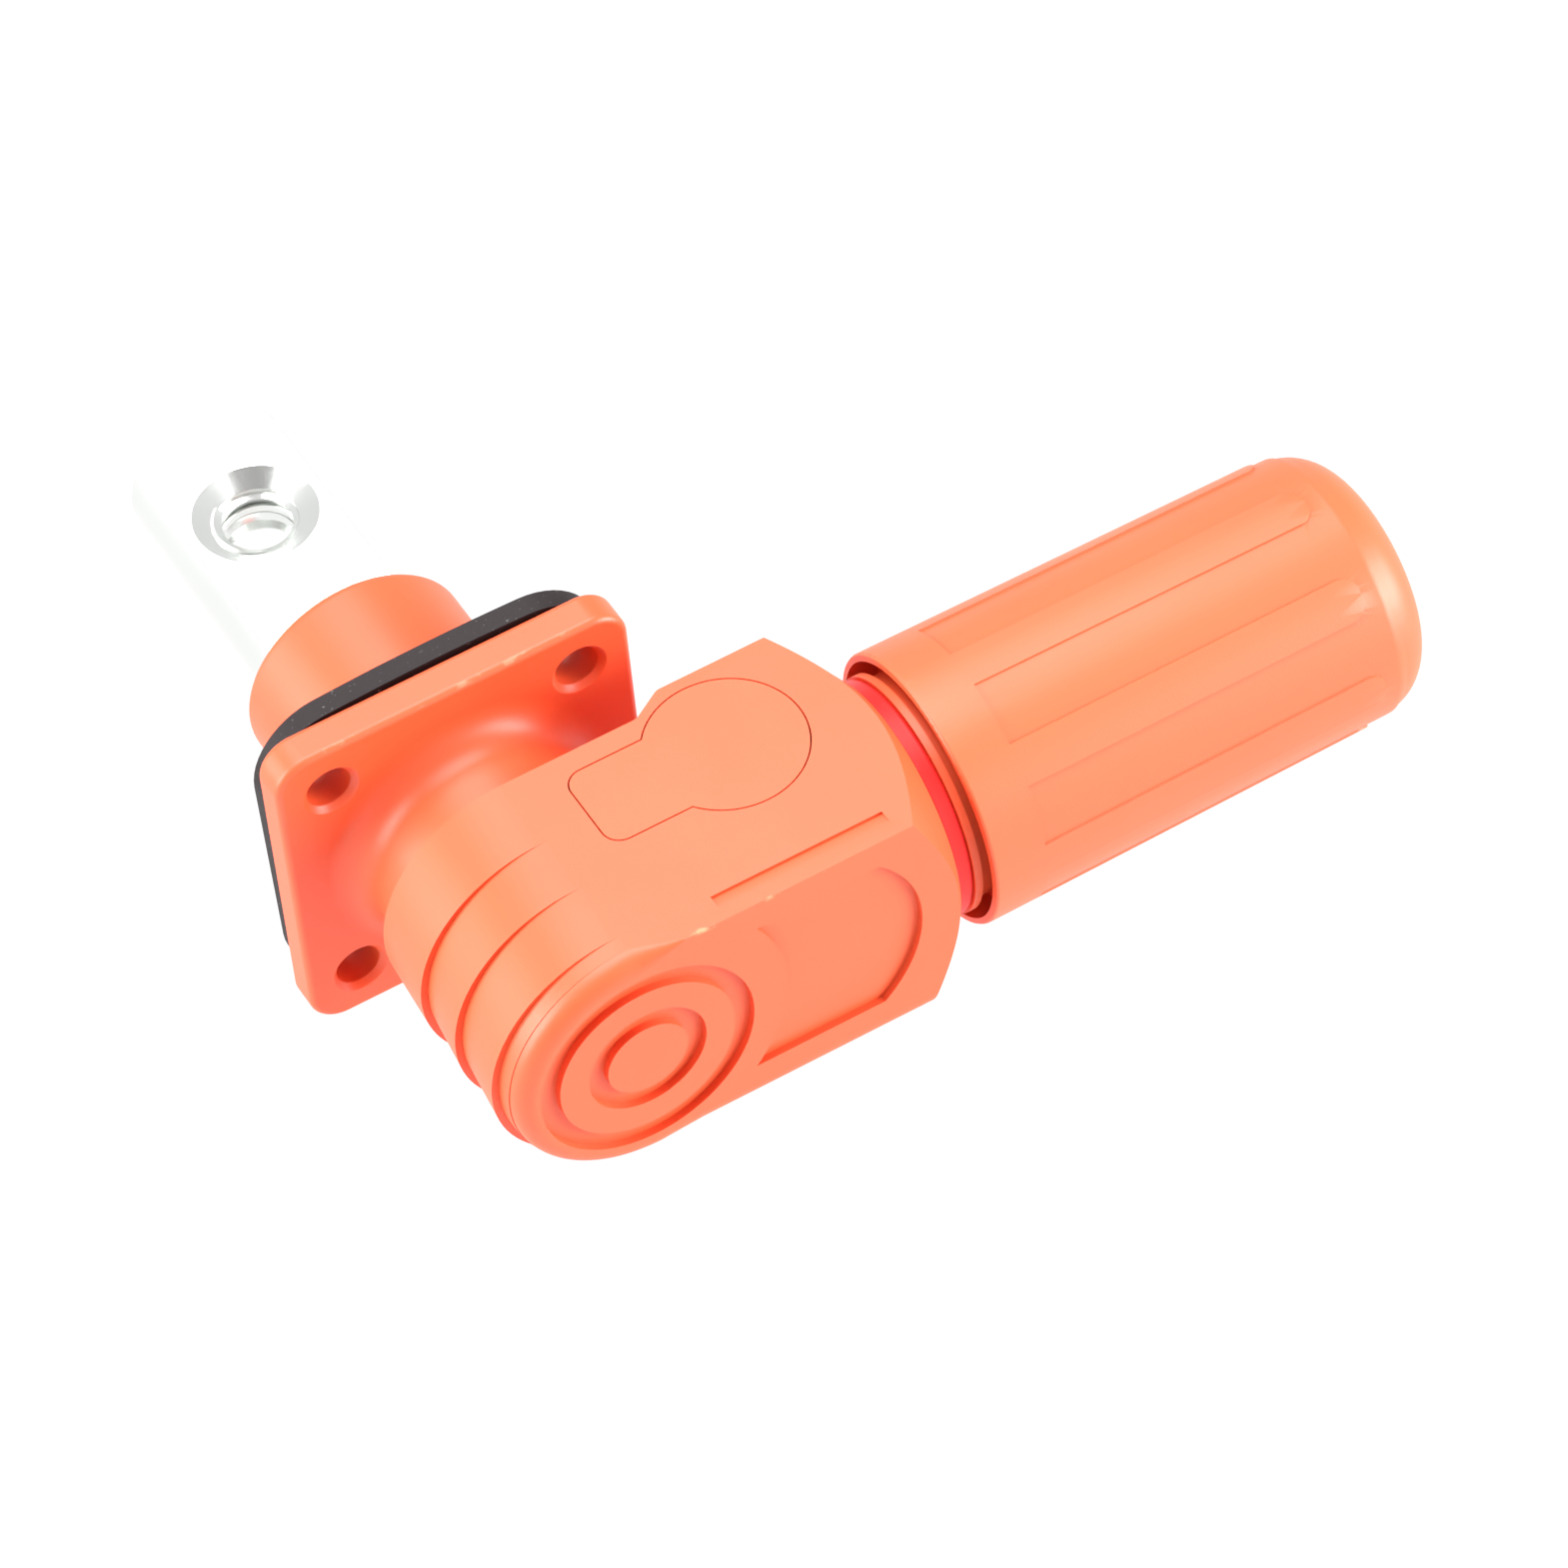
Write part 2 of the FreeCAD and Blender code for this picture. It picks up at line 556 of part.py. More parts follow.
def foot_box(grow, z0, z1):
    """Foot under the button's tail that spreads the latch ring, or the slot that it drops through."""
    y1 = BUTTON_Y + BUTTON_TAIL_HALF
    return Part.makeBox(BUTTON_FOOT_X[1] - BUTTON_FOOT_X[0] + 2 * grow, BUTTON_FOOT_THICK + 2 * grow, z1 - z0,
                        V(BUTTON_FOOT_X[0] - grow, y1 - BUTTON_FOOT_THICK - grow, z0))


def elbow_neck():
    """Round neck that carries the nut: a seat for the red seal, a ridge, and the thread's core and land."""
    x1 = NOSE_X + NECK_SEAT_LENGTH
    x2 = x1 + NECK_RIDGE_LENGTH
    return turned_x([
        (NOSE_X - NECK_SINK, 0),
        (NOSE_X - NECK_SINK, NECK_SEAT_R),
        (x1, NECK_SEAT_R),
        (x1, NECK_RIDGE_R),
        (x2, NECK_RIDGE_R),
        (x2, NECK_ROOT_R),
        (NECK_LAND_X, NECK_ROOT_R),
        (NECK_LAND_X, NECK_LAND_R),
        (NECK_END_X - NECK_END_CHAMFER, NECK_LAND_R),
        (NECK_END_X, NECK_LAND_R - NECK_END_CHAMFER),
        (NECK_END_X, 0),
    ])


def elbow_housing():
    """Moulded right-angle shell of the plug."""
    body = elbow_blank().fuse(elbow_neck())
    body = body.cut(front_edge_cutter())
    for inner, outer in TARGET_RADII:
        body = body.cut(tube_y(inner, outer, FRONT_Y - 1, FRONT_Y + TARGET_DEPTH))
    body = body.cut(dimple_cutter())
    body = body.cut(notch_cutter())
    body = body.cut(rod_y(RIM_BORE_R, RIM_FLOOR_Y, BLOCK_REAR_Y + 1))
    body = body.cut(rod_y(CARRIER_R + SLIDING_GAP, CARRIER_SEAT_Y, RIM_Y))
    body = body.cut(rod_y(CARRIER_BORE_R, CABLE_AXIS_Y - CONTACT_BORE_DEPTH, RIM_Y))
    body = body.cut(rod_x(CRIMP_BORE_GAP_R, -TONGUE_END_R - 2 * LOOSE_GAP, CABLE_BORE_X))
    body = body.cut(rod_x(CABLE_BORE_R, CABLE_BORE_X, NECK_END_X + 1))
    body = body.cut(rod_x(GROMMET_BORE_R, GROMMET_BORE_X, NECK_END_X + 1))
    body = body.cut(keyhole(BUTTON_SIDE_GAP, BUTTON_POCKET_Z, PLUG_HALF_HEIGHT + 1))
    spring_bore_r = SPRING_R + SPRING_WIRE_R + SEAT_GAP
    body = body.cut(Part.makeCylinder(spring_bore_r, BUTTON_POCKET_Z - SPRING_SEAT_Z + 1,
                                      V(BUTTON_ROUND_X, BUTTON_Y, SPRING_SEAT_Z), AXIS_Z))
    body = body.cut(foot_box(BUTTON_SIDE_GAP, RIM_BORE_R * 0.75, BUTTON_POCKET_Z + 1))
    latch_r = RIM_BORE_R + LATCH_WIRE_R + LOOSE_GAP
    half = LATCH_WIRE_R + SEAT_GAP
    body = body.cut(tube_y(RIM_BORE_R - 1, latch_r, LATCH_GROOVE_Y - half, LATCH_GROOVE_Y + half))
    return body.removeSplitter()


def release_button():
    """Keyhole-shaped push button, flush with the top face, with the foot that opens the latch."""
    plate = keyhole(0, BUTTON_UNDERSIDE_Z, PLUG_HALF_HEIGHT)
    foot = foot_box(0, BUTTON_UNDERSIDE_Z - BUTTON_FOOT_DROP, BUTTON_UNDERSIDE_Z + SEAT_GAP)
    return plate.fuse(foot).removeSplitter()


def button_spring():
    """Small coil spring under the round part of the button, its wire drawn with flat sides."""
    height = BUTTON_UNDERSIDE_Z - SPRING_SEAT_Z - 2 * SPRING_WIRE_R - SEAT_GAP
    steps = SPRING_TURNS * SPRING_STEPS
    sections = []
    for i in range(steps + 1):
        a = 2 * math.pi * i / SPRING_STEPS
        outwards = V(math.cos(a), math.sin(a), 0)
        middle = outwards * SPRING_R + AXIS_Z * (height * i / steps)
        section = []
        for j in range(SPRING_SIDES):
            b = 2 * math.pi * (j + 0.5) / SPRING_SIDES
            section.append(middle + outwards * (SPRING_WIRE_R * math.cos(b)) + AXIS_Z * (SPRING_WIRE_R * math.sin(b)))
        sections.append(section)
    loops = [sections[0] + sections[0][:1], sections[-1] + sections[-1][:1]]
    for lower, upper in zip(sections, sections[1:]):
        for j in range(SPRING_SIDES):
            k = (j + 1) % SPRING_SIDES
            loops.append([lower[j], lower[k], upper[k], lower[j]])
            loops.append([lower[j], upper[k], upper[j], lower[j]])
    shell = Part.Shell([Part.Face(Part.makePolygon(loop)) for loop in loops])
    coil = Part.Solid(shell)
    if coil.Volume < 0:
        coil.reverse()
    coil.translate(V(BUTTON_ROUND_X, BUTTON_Y, SPRING_SEAT_Z + SPRING_WIRE_R + SEAT_GAP / 2))
    return coil


def latch_ring():
    """Open ring of spring wire that sits half in the collar's groove and half in the plug's rim."""
    ring = Part.makeTorus(LATCH_RING_R, LATCH_WIRE_R, ORIGIN, AXIS_Z, 0, 360, 360 - LATCH_OPENING_DEG)
    ring.rotate(ORIGIN, AXIS_X, 90)
    ring.rotate(ORIGIN, AXIS_Y, -90 + (360 - LATCH_OPENING_DEG) / 2)
    ring.translate(V(0, LATCH_GROOVE_Y, 0))
    return ring


def contact_carrier():
    """Insulating sleeve of the plug that holds the socket and enters the receptacle's shroud."""
    sleeve = tube_y(CARRIER_BORE_R, CARRIER_R, CARRIER_SEAT_Y, CARRIER_TIP_Y)
    groove = tube_y(CARRIER_R - FACE_SEAL_GROOVE_DEPTH, CARRIER_R + 1, FACE_SEAL_Y[0] - SLIDING_GAP,
                    FACE_SEAL_Y[1] + SLIDING_GAP)
    return sleeve.cut(groove)


def interface_seal():
    """Rubber ring on the carrier, with two lips that run on the wall of the shroud."""
    floor_r = CARRIER_R - FACE_SEAL_GROOVE_DEPTH + SLIDING_GAP
    lip_r = SHROUD_BORE_R - SLIDING_GAP
    y0, y1 = FACE_SEAL_Y
    middle = (y0 + y1) / 2
    return turned_y([(y0, floor_r), (y0, lip_r - FACE_SEAL_LIP), (y0 + FACE_SEAL_LIP, lip_r),
                     (middle, lip_r - FACE_SEAL_LIP), (y1 - FACE_SEAL_LIP, lip_r),
                     (y1, lip_r - FACE_SEAL_LIP), (y1, floor_r)])


def socket_guard_ring():
    """Insulating ring in the carrier's mouth that keeps fingers off the socket."""
    ring = tube_y(GUARD_RING_BORE_R, CARRIER_BORE_R, SOCKET_MOUTH_Y, CARRIER_TIP_Y)
    return ring.cut(Part.makeCone(GUARD_RING_BORE_R, GUARD_RING_BORE_R + GUARD_RING_THICK / 2, GUARD_RING_THICK / 2,
                                  V(0, CARRIER_TIP_Y - GUARD_RING_THICK / 2, 0), AXIS_Y))


def socket_contact():
    """Plated socket that takes the pin, with a groove inside for the spring crown."""
    socket = rod_y(CARRIER_BORE_R - SLIDING_GAP, TONGUE_Y[1], SOCKET_MOUTH_Y)
    socket = socket.cut(rod_y(SOCKET_BORE_R, SOCKET_WEB_Y, SOCKET_MOUTH_Y + 1))
    socket = socket.cut(rod_y(CROWN_GROOVE_R, CROWN_GROOVE_Y[0], CROWN_GROOVE_Y[1]))
    socket = socket.cut(Part.makeCone(SOCKET_BORE_R, SOCKET_BORE_R + SOCKET_MOUTH_CHAMFER, SOCKET_MOUTH_CHAMFER,
                                      V(0, SOCKET_MOUTH_Y - SOCKET_MOUTH_CHAMFER, 0), AXIS_Y))
    return socket.cut(rod_y(BOLT_R + SLIDING_GAP, TONGUE_Y[1] - 1, SOCKET_WEB_Y + 1))


def contact_crown():
    """Spring crown: two rings joined by slats that bow inwards and grip the pin."""
    y0 = CROWN_GROOVE_Y[0] + SLIDING_GAP
    y1 = CROWN_GROOVE_Y[1] - SLIDING_GAP
    middle = (y0 + y1) / 2
    wide = CROWN_GROOVE_R - SLIDING_GAP
    ring = 1.0
    crown = turned_y([
        (y0, wide - CROWN_STRIP), (y0, wide), (y0 + ring, wide), (middle, CROWN_GRIP_R + CROWN_STRIP),
        (y1 - ring, wide), (y1, wide), (y1, wide - CROWN_STRIP), (y1 - ring, wide - CROWN_STRIP),
        (middle, CROWN_GRIP_R), (y0 + ring, wide - CROWN_STRIP),
    ])
    slot = Part.makeBox(0.8, y1 - y0 - 2 * ring, wide + 1, V(-0.4, y0 + ring, 0))
    for i in range(CROWN_SLATS):
        cutter = slot.copy()
        cutter.rotate(ORIGIN, AXIS_Y, i * 360 / CROWN_SLATS)
        crown = crown.cut(cutter)
    return crown


def crimp_terminal():
    """Copper terminal for the cable: a crimp barrel on the cable axis with a flat tongue under the socket."""
    barrel = rod_x(CRIMP_R, CRIMP_X[0], CRIMP_X[1]).cut(rod_x(CRIMP_BORE_R, CRIMP_X[1] - CRIMP_BORE_DEPTH, CRIMP_X[1] + 1))
    y0, y1 = TONGUE_Y
    w = TONGUE_HALF_WIDTH
    edges = [
        Part.Arc(V(0, y0, w), V(-TONGUE_END_R, y0, 0), V(0, y0, -w)).toShape(),
        Part.makeLine(V(0, y0, -w), V(CRIMP_X[0] + 1, y0, -w)),
        Part.makeLine(V(CRIMP_X[0] + 1, y0, -w), V(CRIMP_X[0] + 1, y0, w)),
        Part.makeLine(V(CRIMP_X[0] + 1, y0, w), V(0, y0, w)),
    ]
    tongue = Part.Face(Part.Wire(edges)).extrude(V(0, y1 - y0, 0))
    tongue = tongue.common(rod_x(CRIMP_R, -TONGUE_END_R - 1, CRIMP_X[1]))
    body = barrel.fuse(tongue)
    return body.cut(rod_y(BOLT_R + SLIDING_GAP, y0 - 1, y1 + 1)).removeSplitter()


def hexagon_cutter(across, y0, y1):
    """Hexagon socket on the mating axis."""
    radius = across / 2 / math.cos(math.pi / 6)
    points = []
    for i in range(7):
        a = math.radians(60 * i)
        points.append(V(radius * math.cos(a), y0, radius * math.sin(a)))
    return Part.Face(Part.makePolygon(points)).extrude(V(0, y1 - y0, 0))


def contact_bolt():
    """Socket-head bolt that clamps the socket on the tongue."""
    head = rod_y(BOLT_HEAD_R, BOLT_SEAT_Y, BOLT_SEAT_Y + BOLT_HEAD)
    shank = rod_y(BOLT_R, BOLT_SEAT_Y - BOLT_LENGTH - WASHER_THICK, BOLT_SEAT_Y)
    key = hexagon_cutter(BOLT_KEY_ACROSS, BOLT_SEAT_Y + BOLT_HEAD - BOLT_KEY_DEPTH, BOLT_SEAT_Y + BOLT_HEAD + 1)
    return head.fuse(shank).cut(key).removeSplitter()


def lock_washer():
    """Split spring washer under the bolt's head."""
    ring = tube_y(BOLT_R + SLIDING_GAP, BOLT_HEAD_R - SEAT_GAP, SOCKET_WEB_Y, BOLT_SEAT_Y)
    split = Part.makeBox(WASHER_SPLIT, WASHER_THICK + 2, BOLT_HEAD_R + 1, V(-WASHER_SPLIT / 2, SOCKET_WEB_Y - 1, 0))
    return ring.cut(split)


def neck_seal():
    """Red rubber ring on the neck, between the elbow and the ridge."""
    return rod_x(NECK_SEAL_R, NOSE_X, NOSE_X + NECK_SEAT_LENGTH).cut(rod_x(NECK_SEAT_R, NOSE_X - 1, NUT_X[0]))


def cable_grommet():
    """Ribbed rubber sleeve in the neck that seals on the cable's sheath."""
    outer = GROMMET_BORE_R - SLIDING_GAP
    x0, x1 = GROMMET_X
    step = (x1 - x0) / 7
    profile = [(x0, outer - GROMMET_WALL), (x0, outer)]
    for i in range(1, 7):
        radius = outer - GROMMET_RIB_DEPTH if i % 2 else outer
        profile.append((x0 + i * step, profile[-1][1]))
        profile.append((x0 + i * step, radius))
    profile.append((x1, outer))
    profile.append((x1, outer - GROMMET_WALL))
    return turned_x(profile)


def clamp_collet():
    """Slotted clamping sleeve that the nut pushes onto the cable."""
    body = turned_x([
        (COLLET_NOSE_X, COLLET_BORE_R),
        (COLLET_NOSE_X, COLLET_NOSE_R),
        (COLLET_CONE_X[0], COLLET_NOSE_R),
        (COLLET_CONE_X[1], COLLET_R),
        (COLLET_END_X, COLLET_R),
        (COLLET_END_X, COLLET_BORE_R),
    ])
    slot = Part.makeBox(COLLET_SLOT_END_X - COLLET_NOSE_X + 1, COLLET_SLOT, COLLET_R + 1,
                        V(COLLET_NOSE_X - 1, CABLE_AXIS_Y - COLLET_SLOT / 2, 0))
    for i in range(COLLET_SLOTS):
        cutter = slot.copy()
        cutter.rotate(CABLE_AXIS, AXIS_X, i * 360 / COLLET_SLOTS)
        body = body.cut(cutter)
    return body


def thrust_washer():
    """Washer that lets the nut turn without twisting the collet."""
    x1 = NUT_SHOULDER_X - LOOSE_GAP
    x0 = x1 - THRUST_WASHER_THICK
    return rod_x(THRUST_WASHER_R, x0, x1).cut(rod_x(THRUST_WASHER_BORE_R, x0 - 1, x1 + 1))


def nut_blank(x0, x1, sunk):
    """Round blank of the nut between two places, sunk below its slightly tapered outline."""
    slope = (NUT_R[1] - NUT_R[0]) / (NUT_X[1] - NUT_X[0])
    r0 = NUT_R[0] + slope * (x0 - NUT_X[0]) - sunk
    r1 = NUT_R[0] + slope * (x1 - NUT_X[0]) - sunk
    return turned_x([(x0, 0), (x0, r0), (x1, r1), (x1, 0)])


def nut_pad():
    """One low grip pad of the nut: it grows out of the collar and ends round towards the cable."""
    w = PAD_HALF_WIDTH
    x0 = NUT_X[0] + NUT_COLLAR_LENGTH / 2
    z = NUT_R[1] - 3 * PAD_HEIGHT
    outline = rounded_outline([
        (V(x0, CABLE_AXIS_Y - w, z), 0),
        (V(PAD_END_X, CABLE_AXIS_Y - w, z), PAD_CORNER_R),
        (V(PAD_END_X, CABLE_AXIS_Y + w, z), PAD_CORNER_R),
        (V(x0, CABLE_AXIS_Y + w, z), 0),
    ])
    prism = Part.Face(outline).extrude(V(0, 0, 6 * PAD_HEIGHT))
    return prism.common(nut_blank(x0, PAD_END_X + 1, 0))


def gland_nut():
    """Long round nut with a threaded bore, a collar at its mouth, eight grip pads and a rounded cable end."""
    x0, x1 = NUT_X
    core = nut_blank(x0 + NUT_COLLAR_LENGTH / 2, x1, PAD_HEIGHT)
    core = core.makeFillet(NUT_END_R, [e for e in core.Edges if e.BoundBox.XMin > x1 - 1e-6])
    collar = nut_blank(x0, x0 + NUT_COLLAR_LENGTH, 0)
    collar = collar.makeFillet(NUT_MOUTH_EDGE_R, [e for e in collar.Edges if e.BoundBox.XMax < x0 + 1e-6])
    pads = []
    for i in range(PAD_COUNT):
        pad = nut_pad()
        pad.rotate(CABLE_AXIS, AXIS_X, i * 360 / PAD_COUNT)
        pads.append(pad)
    body = core.fuse([collar] + pads)
    body = body.cut(rod_x(NECK_LAND_R + THREAD_GAP, x0 - 1, NUT_SHOULDER_X))
    body = body.cut(rod_x(NUT_MOUTH_R, x0 - 1, x0 + NUT_MOUTH_DEPTH))
    body = body.cut(rod_x(CABLE_ENTRY_R, x0, x1 + 1))
    body = body.cut(Part.makeCone(CABLE_ENTRY_R, CABLE_ENTRY_R + CABLE_ENTRY_CHAMFER, CABLE_ENTRY_CHAMFER,
                                  V(x1 - CABLE_ENTRY_CHAMFER, CABLE_AXIS_Y, 0), AXIS_X))
    return body.removeSplitter()


NODES = {
    "receptacle_housing": receptacle_housing,
    "busbar_terminal": busbar_terminal,
    "pin_guard_cap": pin_guard_cap,
    "panel_gasket": panel_gasket,
    "terminal_seal_ring": terminal_seal_ring,
    "terminal_circlip": terminal_circlip,
    "elbow_housing": elbow_housing,
    "release_button": release_button,
    "button_spring": button_spring,
    "latch_ring": latch_ring,
    "interface_seal": interface_seal,
    "contact_carrier": contact_carrier,
    "socket_guard_ring": socket_guard_ring,
    "socket_contact": socket_contact,
    "contact_crown": contact_crown,
    "crimp_terminal": crimp_terminal,
    "contact_bolt": contact_bolt,
    "lock_washer": lock_washer,
    "neck_seal": neck_seal,
    "cable_grommet": cable_grommet,
    "clamp_collet": clamp_collet,
    "thrust_washer": thrust_washer,
    "gland_nut": gland_nut,
}

os.makedirs("parts", exist_ok=True)
for name, make in NODES.items():
    shape = make()
    solids = shape.Solids
    shape = solids[0] if len(solids) == 1 else Part.makeCompound(solids)
    box = shape.BoundBox
    print(f"{name:20s} solids {len(solids)} valid {shape.isValid()} volume {shape.Volume:9.1f} "
          f"x {box.XMin:7.2f} {box.XMax:7.2f} y {box.YMin:7.2f} {box.YMax:7.2f} z {box.ZMin:7.2f} {box.ZMax:7.2f}")
    shape.exportStep(f"parts/{name}.step")
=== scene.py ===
import math

import bmesh
import bpy
from mathutils import Matrix, Vector


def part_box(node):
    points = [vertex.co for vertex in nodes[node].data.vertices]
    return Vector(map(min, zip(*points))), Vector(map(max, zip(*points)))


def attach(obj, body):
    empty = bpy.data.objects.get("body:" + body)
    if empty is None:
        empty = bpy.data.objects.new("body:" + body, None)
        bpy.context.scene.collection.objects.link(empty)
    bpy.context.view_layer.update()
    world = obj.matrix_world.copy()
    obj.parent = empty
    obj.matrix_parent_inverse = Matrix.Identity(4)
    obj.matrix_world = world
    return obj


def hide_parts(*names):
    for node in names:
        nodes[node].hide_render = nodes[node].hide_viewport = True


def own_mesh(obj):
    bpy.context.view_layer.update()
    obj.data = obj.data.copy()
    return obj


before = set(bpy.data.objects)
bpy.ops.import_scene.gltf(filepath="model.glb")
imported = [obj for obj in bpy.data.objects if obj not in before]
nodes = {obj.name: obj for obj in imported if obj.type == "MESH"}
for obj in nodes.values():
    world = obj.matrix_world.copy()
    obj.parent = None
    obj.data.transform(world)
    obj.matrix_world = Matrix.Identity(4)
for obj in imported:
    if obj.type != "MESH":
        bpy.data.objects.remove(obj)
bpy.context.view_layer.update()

# Photographer's view: a long lens above and in front of the plug, rolled a little, on a white sweep.
# It stands far away, so edges that are parallel on the part stay almost parallel in the picture.
camera = bpy.data.objects.new("camera", bpy.data.cameras.new("camera"))
camera.data.sensor_width = 36
camera.data.lens = 210.49
camera.data.clip_start = 0.05
camera.data.clip_end = 20
camera_place = (-0.20793, -0.50307, 0.65218)
right = Vector((0.8607, -0.5046, -0.0673)).normalized()
back = Vector((-0.2768, -0.5748, 0.7701)).normalized()
up = back.cross(right).normalized()
camera_turn = Matrix((right, up, back)).transposed().to_4x4()
camera.matrix_world = Matrix.Translation(camera_place) @ camera_turn
bpy.context.scene.collection.objects.link(camera)
bpy.context.scene.camera = camera
bpy.context.scene.view_settings.view_transform = "Standard"


# Light tent: a soft, slightly warm light from all round. The camera, reflections and clear parts see it as
# plain white, as they see the paper below.
def white_where_seen(tree, shader, strength):
    """Plain white to the camera and in gloss and glass, and the shader's own light to everything else."""
    path = tree.nodes.new("ShaderNodeLightPath")
    through = tree.nodes.new("ShaderNodeMath")
    through.operation = "MAXIMUM"
    seen = tree.nodes.new("ShaderNodeMath")
    seen.operation = "MAXIMUM"
    share = tree.nodes.new("ShaderNodeMath")
    share.operation = "MULTIPLY"
    share.inputs[1].default_value = strength
    tree.links.new(path.outputs["Is Glossy Ray"], through.inputs[0])
    tree.links.new(path.outputs["Is Transmission Ray"], through.inputs[1])
    tree.links.new(path.outputs["Is Camera Ray"], seen.inputs[0])
    tree.links.new(through.outputs[0], seen.inputs[1])
    tree.links.new(seen.outputs[0], share.inputs[0])
    mix = tree.nodes.new("ShaderNodeMixShader")
    tree.links.new(share.outputs[0], mix.inputs[0])
    tree.links.new(shader.outputs[0], mix.inputs[1])
    return mix


world = bpy.data.worlds.new("light_tent")
world.use_nodes = True
bpy.context.scene.world = world
sky = world.node_tree.nodes["Background"]
sky.inputs["Color"].default_value = (1, 0.99, 0.98, 1)
sky.inputs["Strength"].default_value = 0.36
white = world.node_tree.nodes.new("ShaderNodeBackground")
white.inputs["Strength"].default_value = 1.0
mix = white_where_seen(world.node_tree, sky, strength=1.0)
world.node_tree.links.new(white.outputs[0], mix.inputs[2])
world.node_tree.links.new(mix.outputs[0], world.node_tree.nodes["World Output"].inputs[0])


# Paper that the part lies over, white from above and clear from below, so that the underside can be seen.
# It keeps a trace of the part's shadow where the camera looks at it.
def level_sheet(name, half_width, half_depth, height):
    """A flat sheet of paper or card that faces up."""
    mesh = bpy.data.meshes.new(name)
    corners = [(-half_width, -half_depth, height), (half_width, -half_depth, height),
               (half_width, half_depth, height), (-half_width, half_depth, height)]
    mesh.from_pydata(corners, [], [(0, 1, 2, 3)])
    sheet = bpy.data.objects.new(name, mesh)
    bpy.context.scene.collection.objects.link(sheet)
    return sheet


floor = level_sheet("floor", half_width=3, half_depth=3, height=-0.05)
paper = bpy.data.materials.new("white_sweep")
paper.use_nodes = True
paper_shader = paper.node_tree.nodes["Principled BSDF"]
paper_shader.inputs["Base Color"].default_value = (0.9, 0.9, 0.9, 1)
paper_shader.inputs["Roughness"].default_value = 0.9
glow = paper.node_tree.nodes.new("ShaderNodeEmission")
glow.inputs["Strength"].default_value = 1.0
mix = white_where_seen(paper.node_tree, paper_shader, strength=0.92)
paper.node_tree.links.new(glow.outputs[0], mix.inputs[2])
side = paper.node_tree.nodes.new("ShaderNodeNewGeometry")
clear = paper.node_tree.nodes.new("ShaderNodeBsdfTransparent")
one_sided = paper.node_tree.nodes.new("ShaderNodeMixShader")
paper.node_tree.links.new(side.outputs["Backfacing"], one_sided.inputs[0])
paper.node_tree.links.new(mix.outputs[0], one_sided.inputs[1])
paper.node_tree.links.new(clear.outputs[0], one_sided.inputs[2])
paper.node_tree.links.new(one_sided.outputs[0], paper.node_tree.nodes["Material Output"].inputs[0])
floor.data.materials.append(paper)

# Three square softboxes, turned to the middle of the part: one above and behind it, one low at the right in
# front, and one at the left behind.
part_middle = Vector((0.03, 0, 0))
for name, place, size, watts in (
    ("top_softbox", (0.0, 0.22, 0.95), 0.8, 17.0),
    ("right_softbox", (0.85, -0.62, 0.20), 0.7, 23.5),
    ("left_softbox", (-0.90, 0.25, 0.35), 0.7, 16.5),
):
    lamp = bpy.data.lights.new(name, "AREA")
    lamp.shape = "SQUARE"
    lamp.size = size
    lamp.energy = watts
    softbox = bpy.data.objects.new(name, lamp)
    softbox.location = place
    softbox.rotation_euler = (part_middle - Vector(place)).to_track_quat("-Z", "Y").to_euler()
    bpy.context.scene.collection.objects.link(softbox)

# Black flocked card over the terminal's hole. Only reflections show it, so it draws the countersink and the
# thread without taking light from the part.
hole_mouth = (0, 0.0371, 0.004)
towards_card = Vector((-0.19, -0.25, 0.95)).normalized()
card_distance = 0.35
dark_card = level_sheet("dark_card", half_width=0.13, half_depth=0.14, height=0)
dark_card.location = Vector(hole_mouth) + towards_card * card_distance
dark_card.rotation_euler = towards_card.to_track_quat("Z", "Y").to_euler()
dark_card.visible_camera = False
dark_card.visible_diffuse = False
dark_card.visible_shadow = False
dark_card.visible_transmission = False
flock = bpy.data.materials.new("dark_flock")
flock.use_nodes = True
flock.node_tree.nodes["Principled BSDF"].inputs["Base Color"].default_value = (0.02, 0.015, 0.015, 1)
flock.node_tree.nodes["Principled BSDF"].inputs["Roughness"].default_value = 1.0
dark_card.data.materials.append(flock)


# Receptacle housing: square flange with a boss behind and a collar in front, one moulding of orange
# polyamide. It is satin, with a fine spark-eroded grain and the soft edges that a mould leaves, and a pale
# broken line is painted along the flange's upper front edge, a painted edge highlight with a little wear.
def new_finish(name):
    """A new material, with its tree, its shader and the piece's own coordinates."""
    material = bpy.data.materials.new(name)
    material.use_nodes = True
    tree = material.node_tree
    place = tree.nodes.new("ShaderNodeTexCoord").outputs["Object"]
    return material, tree, tree.nodes["Principled BSDF"], place


def noise(tree, place, scale, detail):
    """A noise pattern, read at a place."""
    pattern = tree.nodes.new("ShaderNodeTexNoise")
    pattern.inputs["Scale"].default_value = scale
    pattern.inputs["Detail"].default_value = detail
    tree.links.new(place, pattern.inputs["Vector"])
    return pattern.outputs["Fac"]


def vary_colour(tree, share, colour, other, shader):
    """Lets a pattern carry the shader's colour from one tone to another."""
    tint = tree.nodes.new("ShaderNodeMix")
    tint.data_type = "RGBA"
    tint.inputs["A"].default_value = (*colour, 1)
    tint.inputs["B"].default_value = (*other, 1)
    tree.links.new(share, tint.inputs["Factor"])
    tree.links.new(tint.outputs["Result"], shader.inputs["Base Color"])


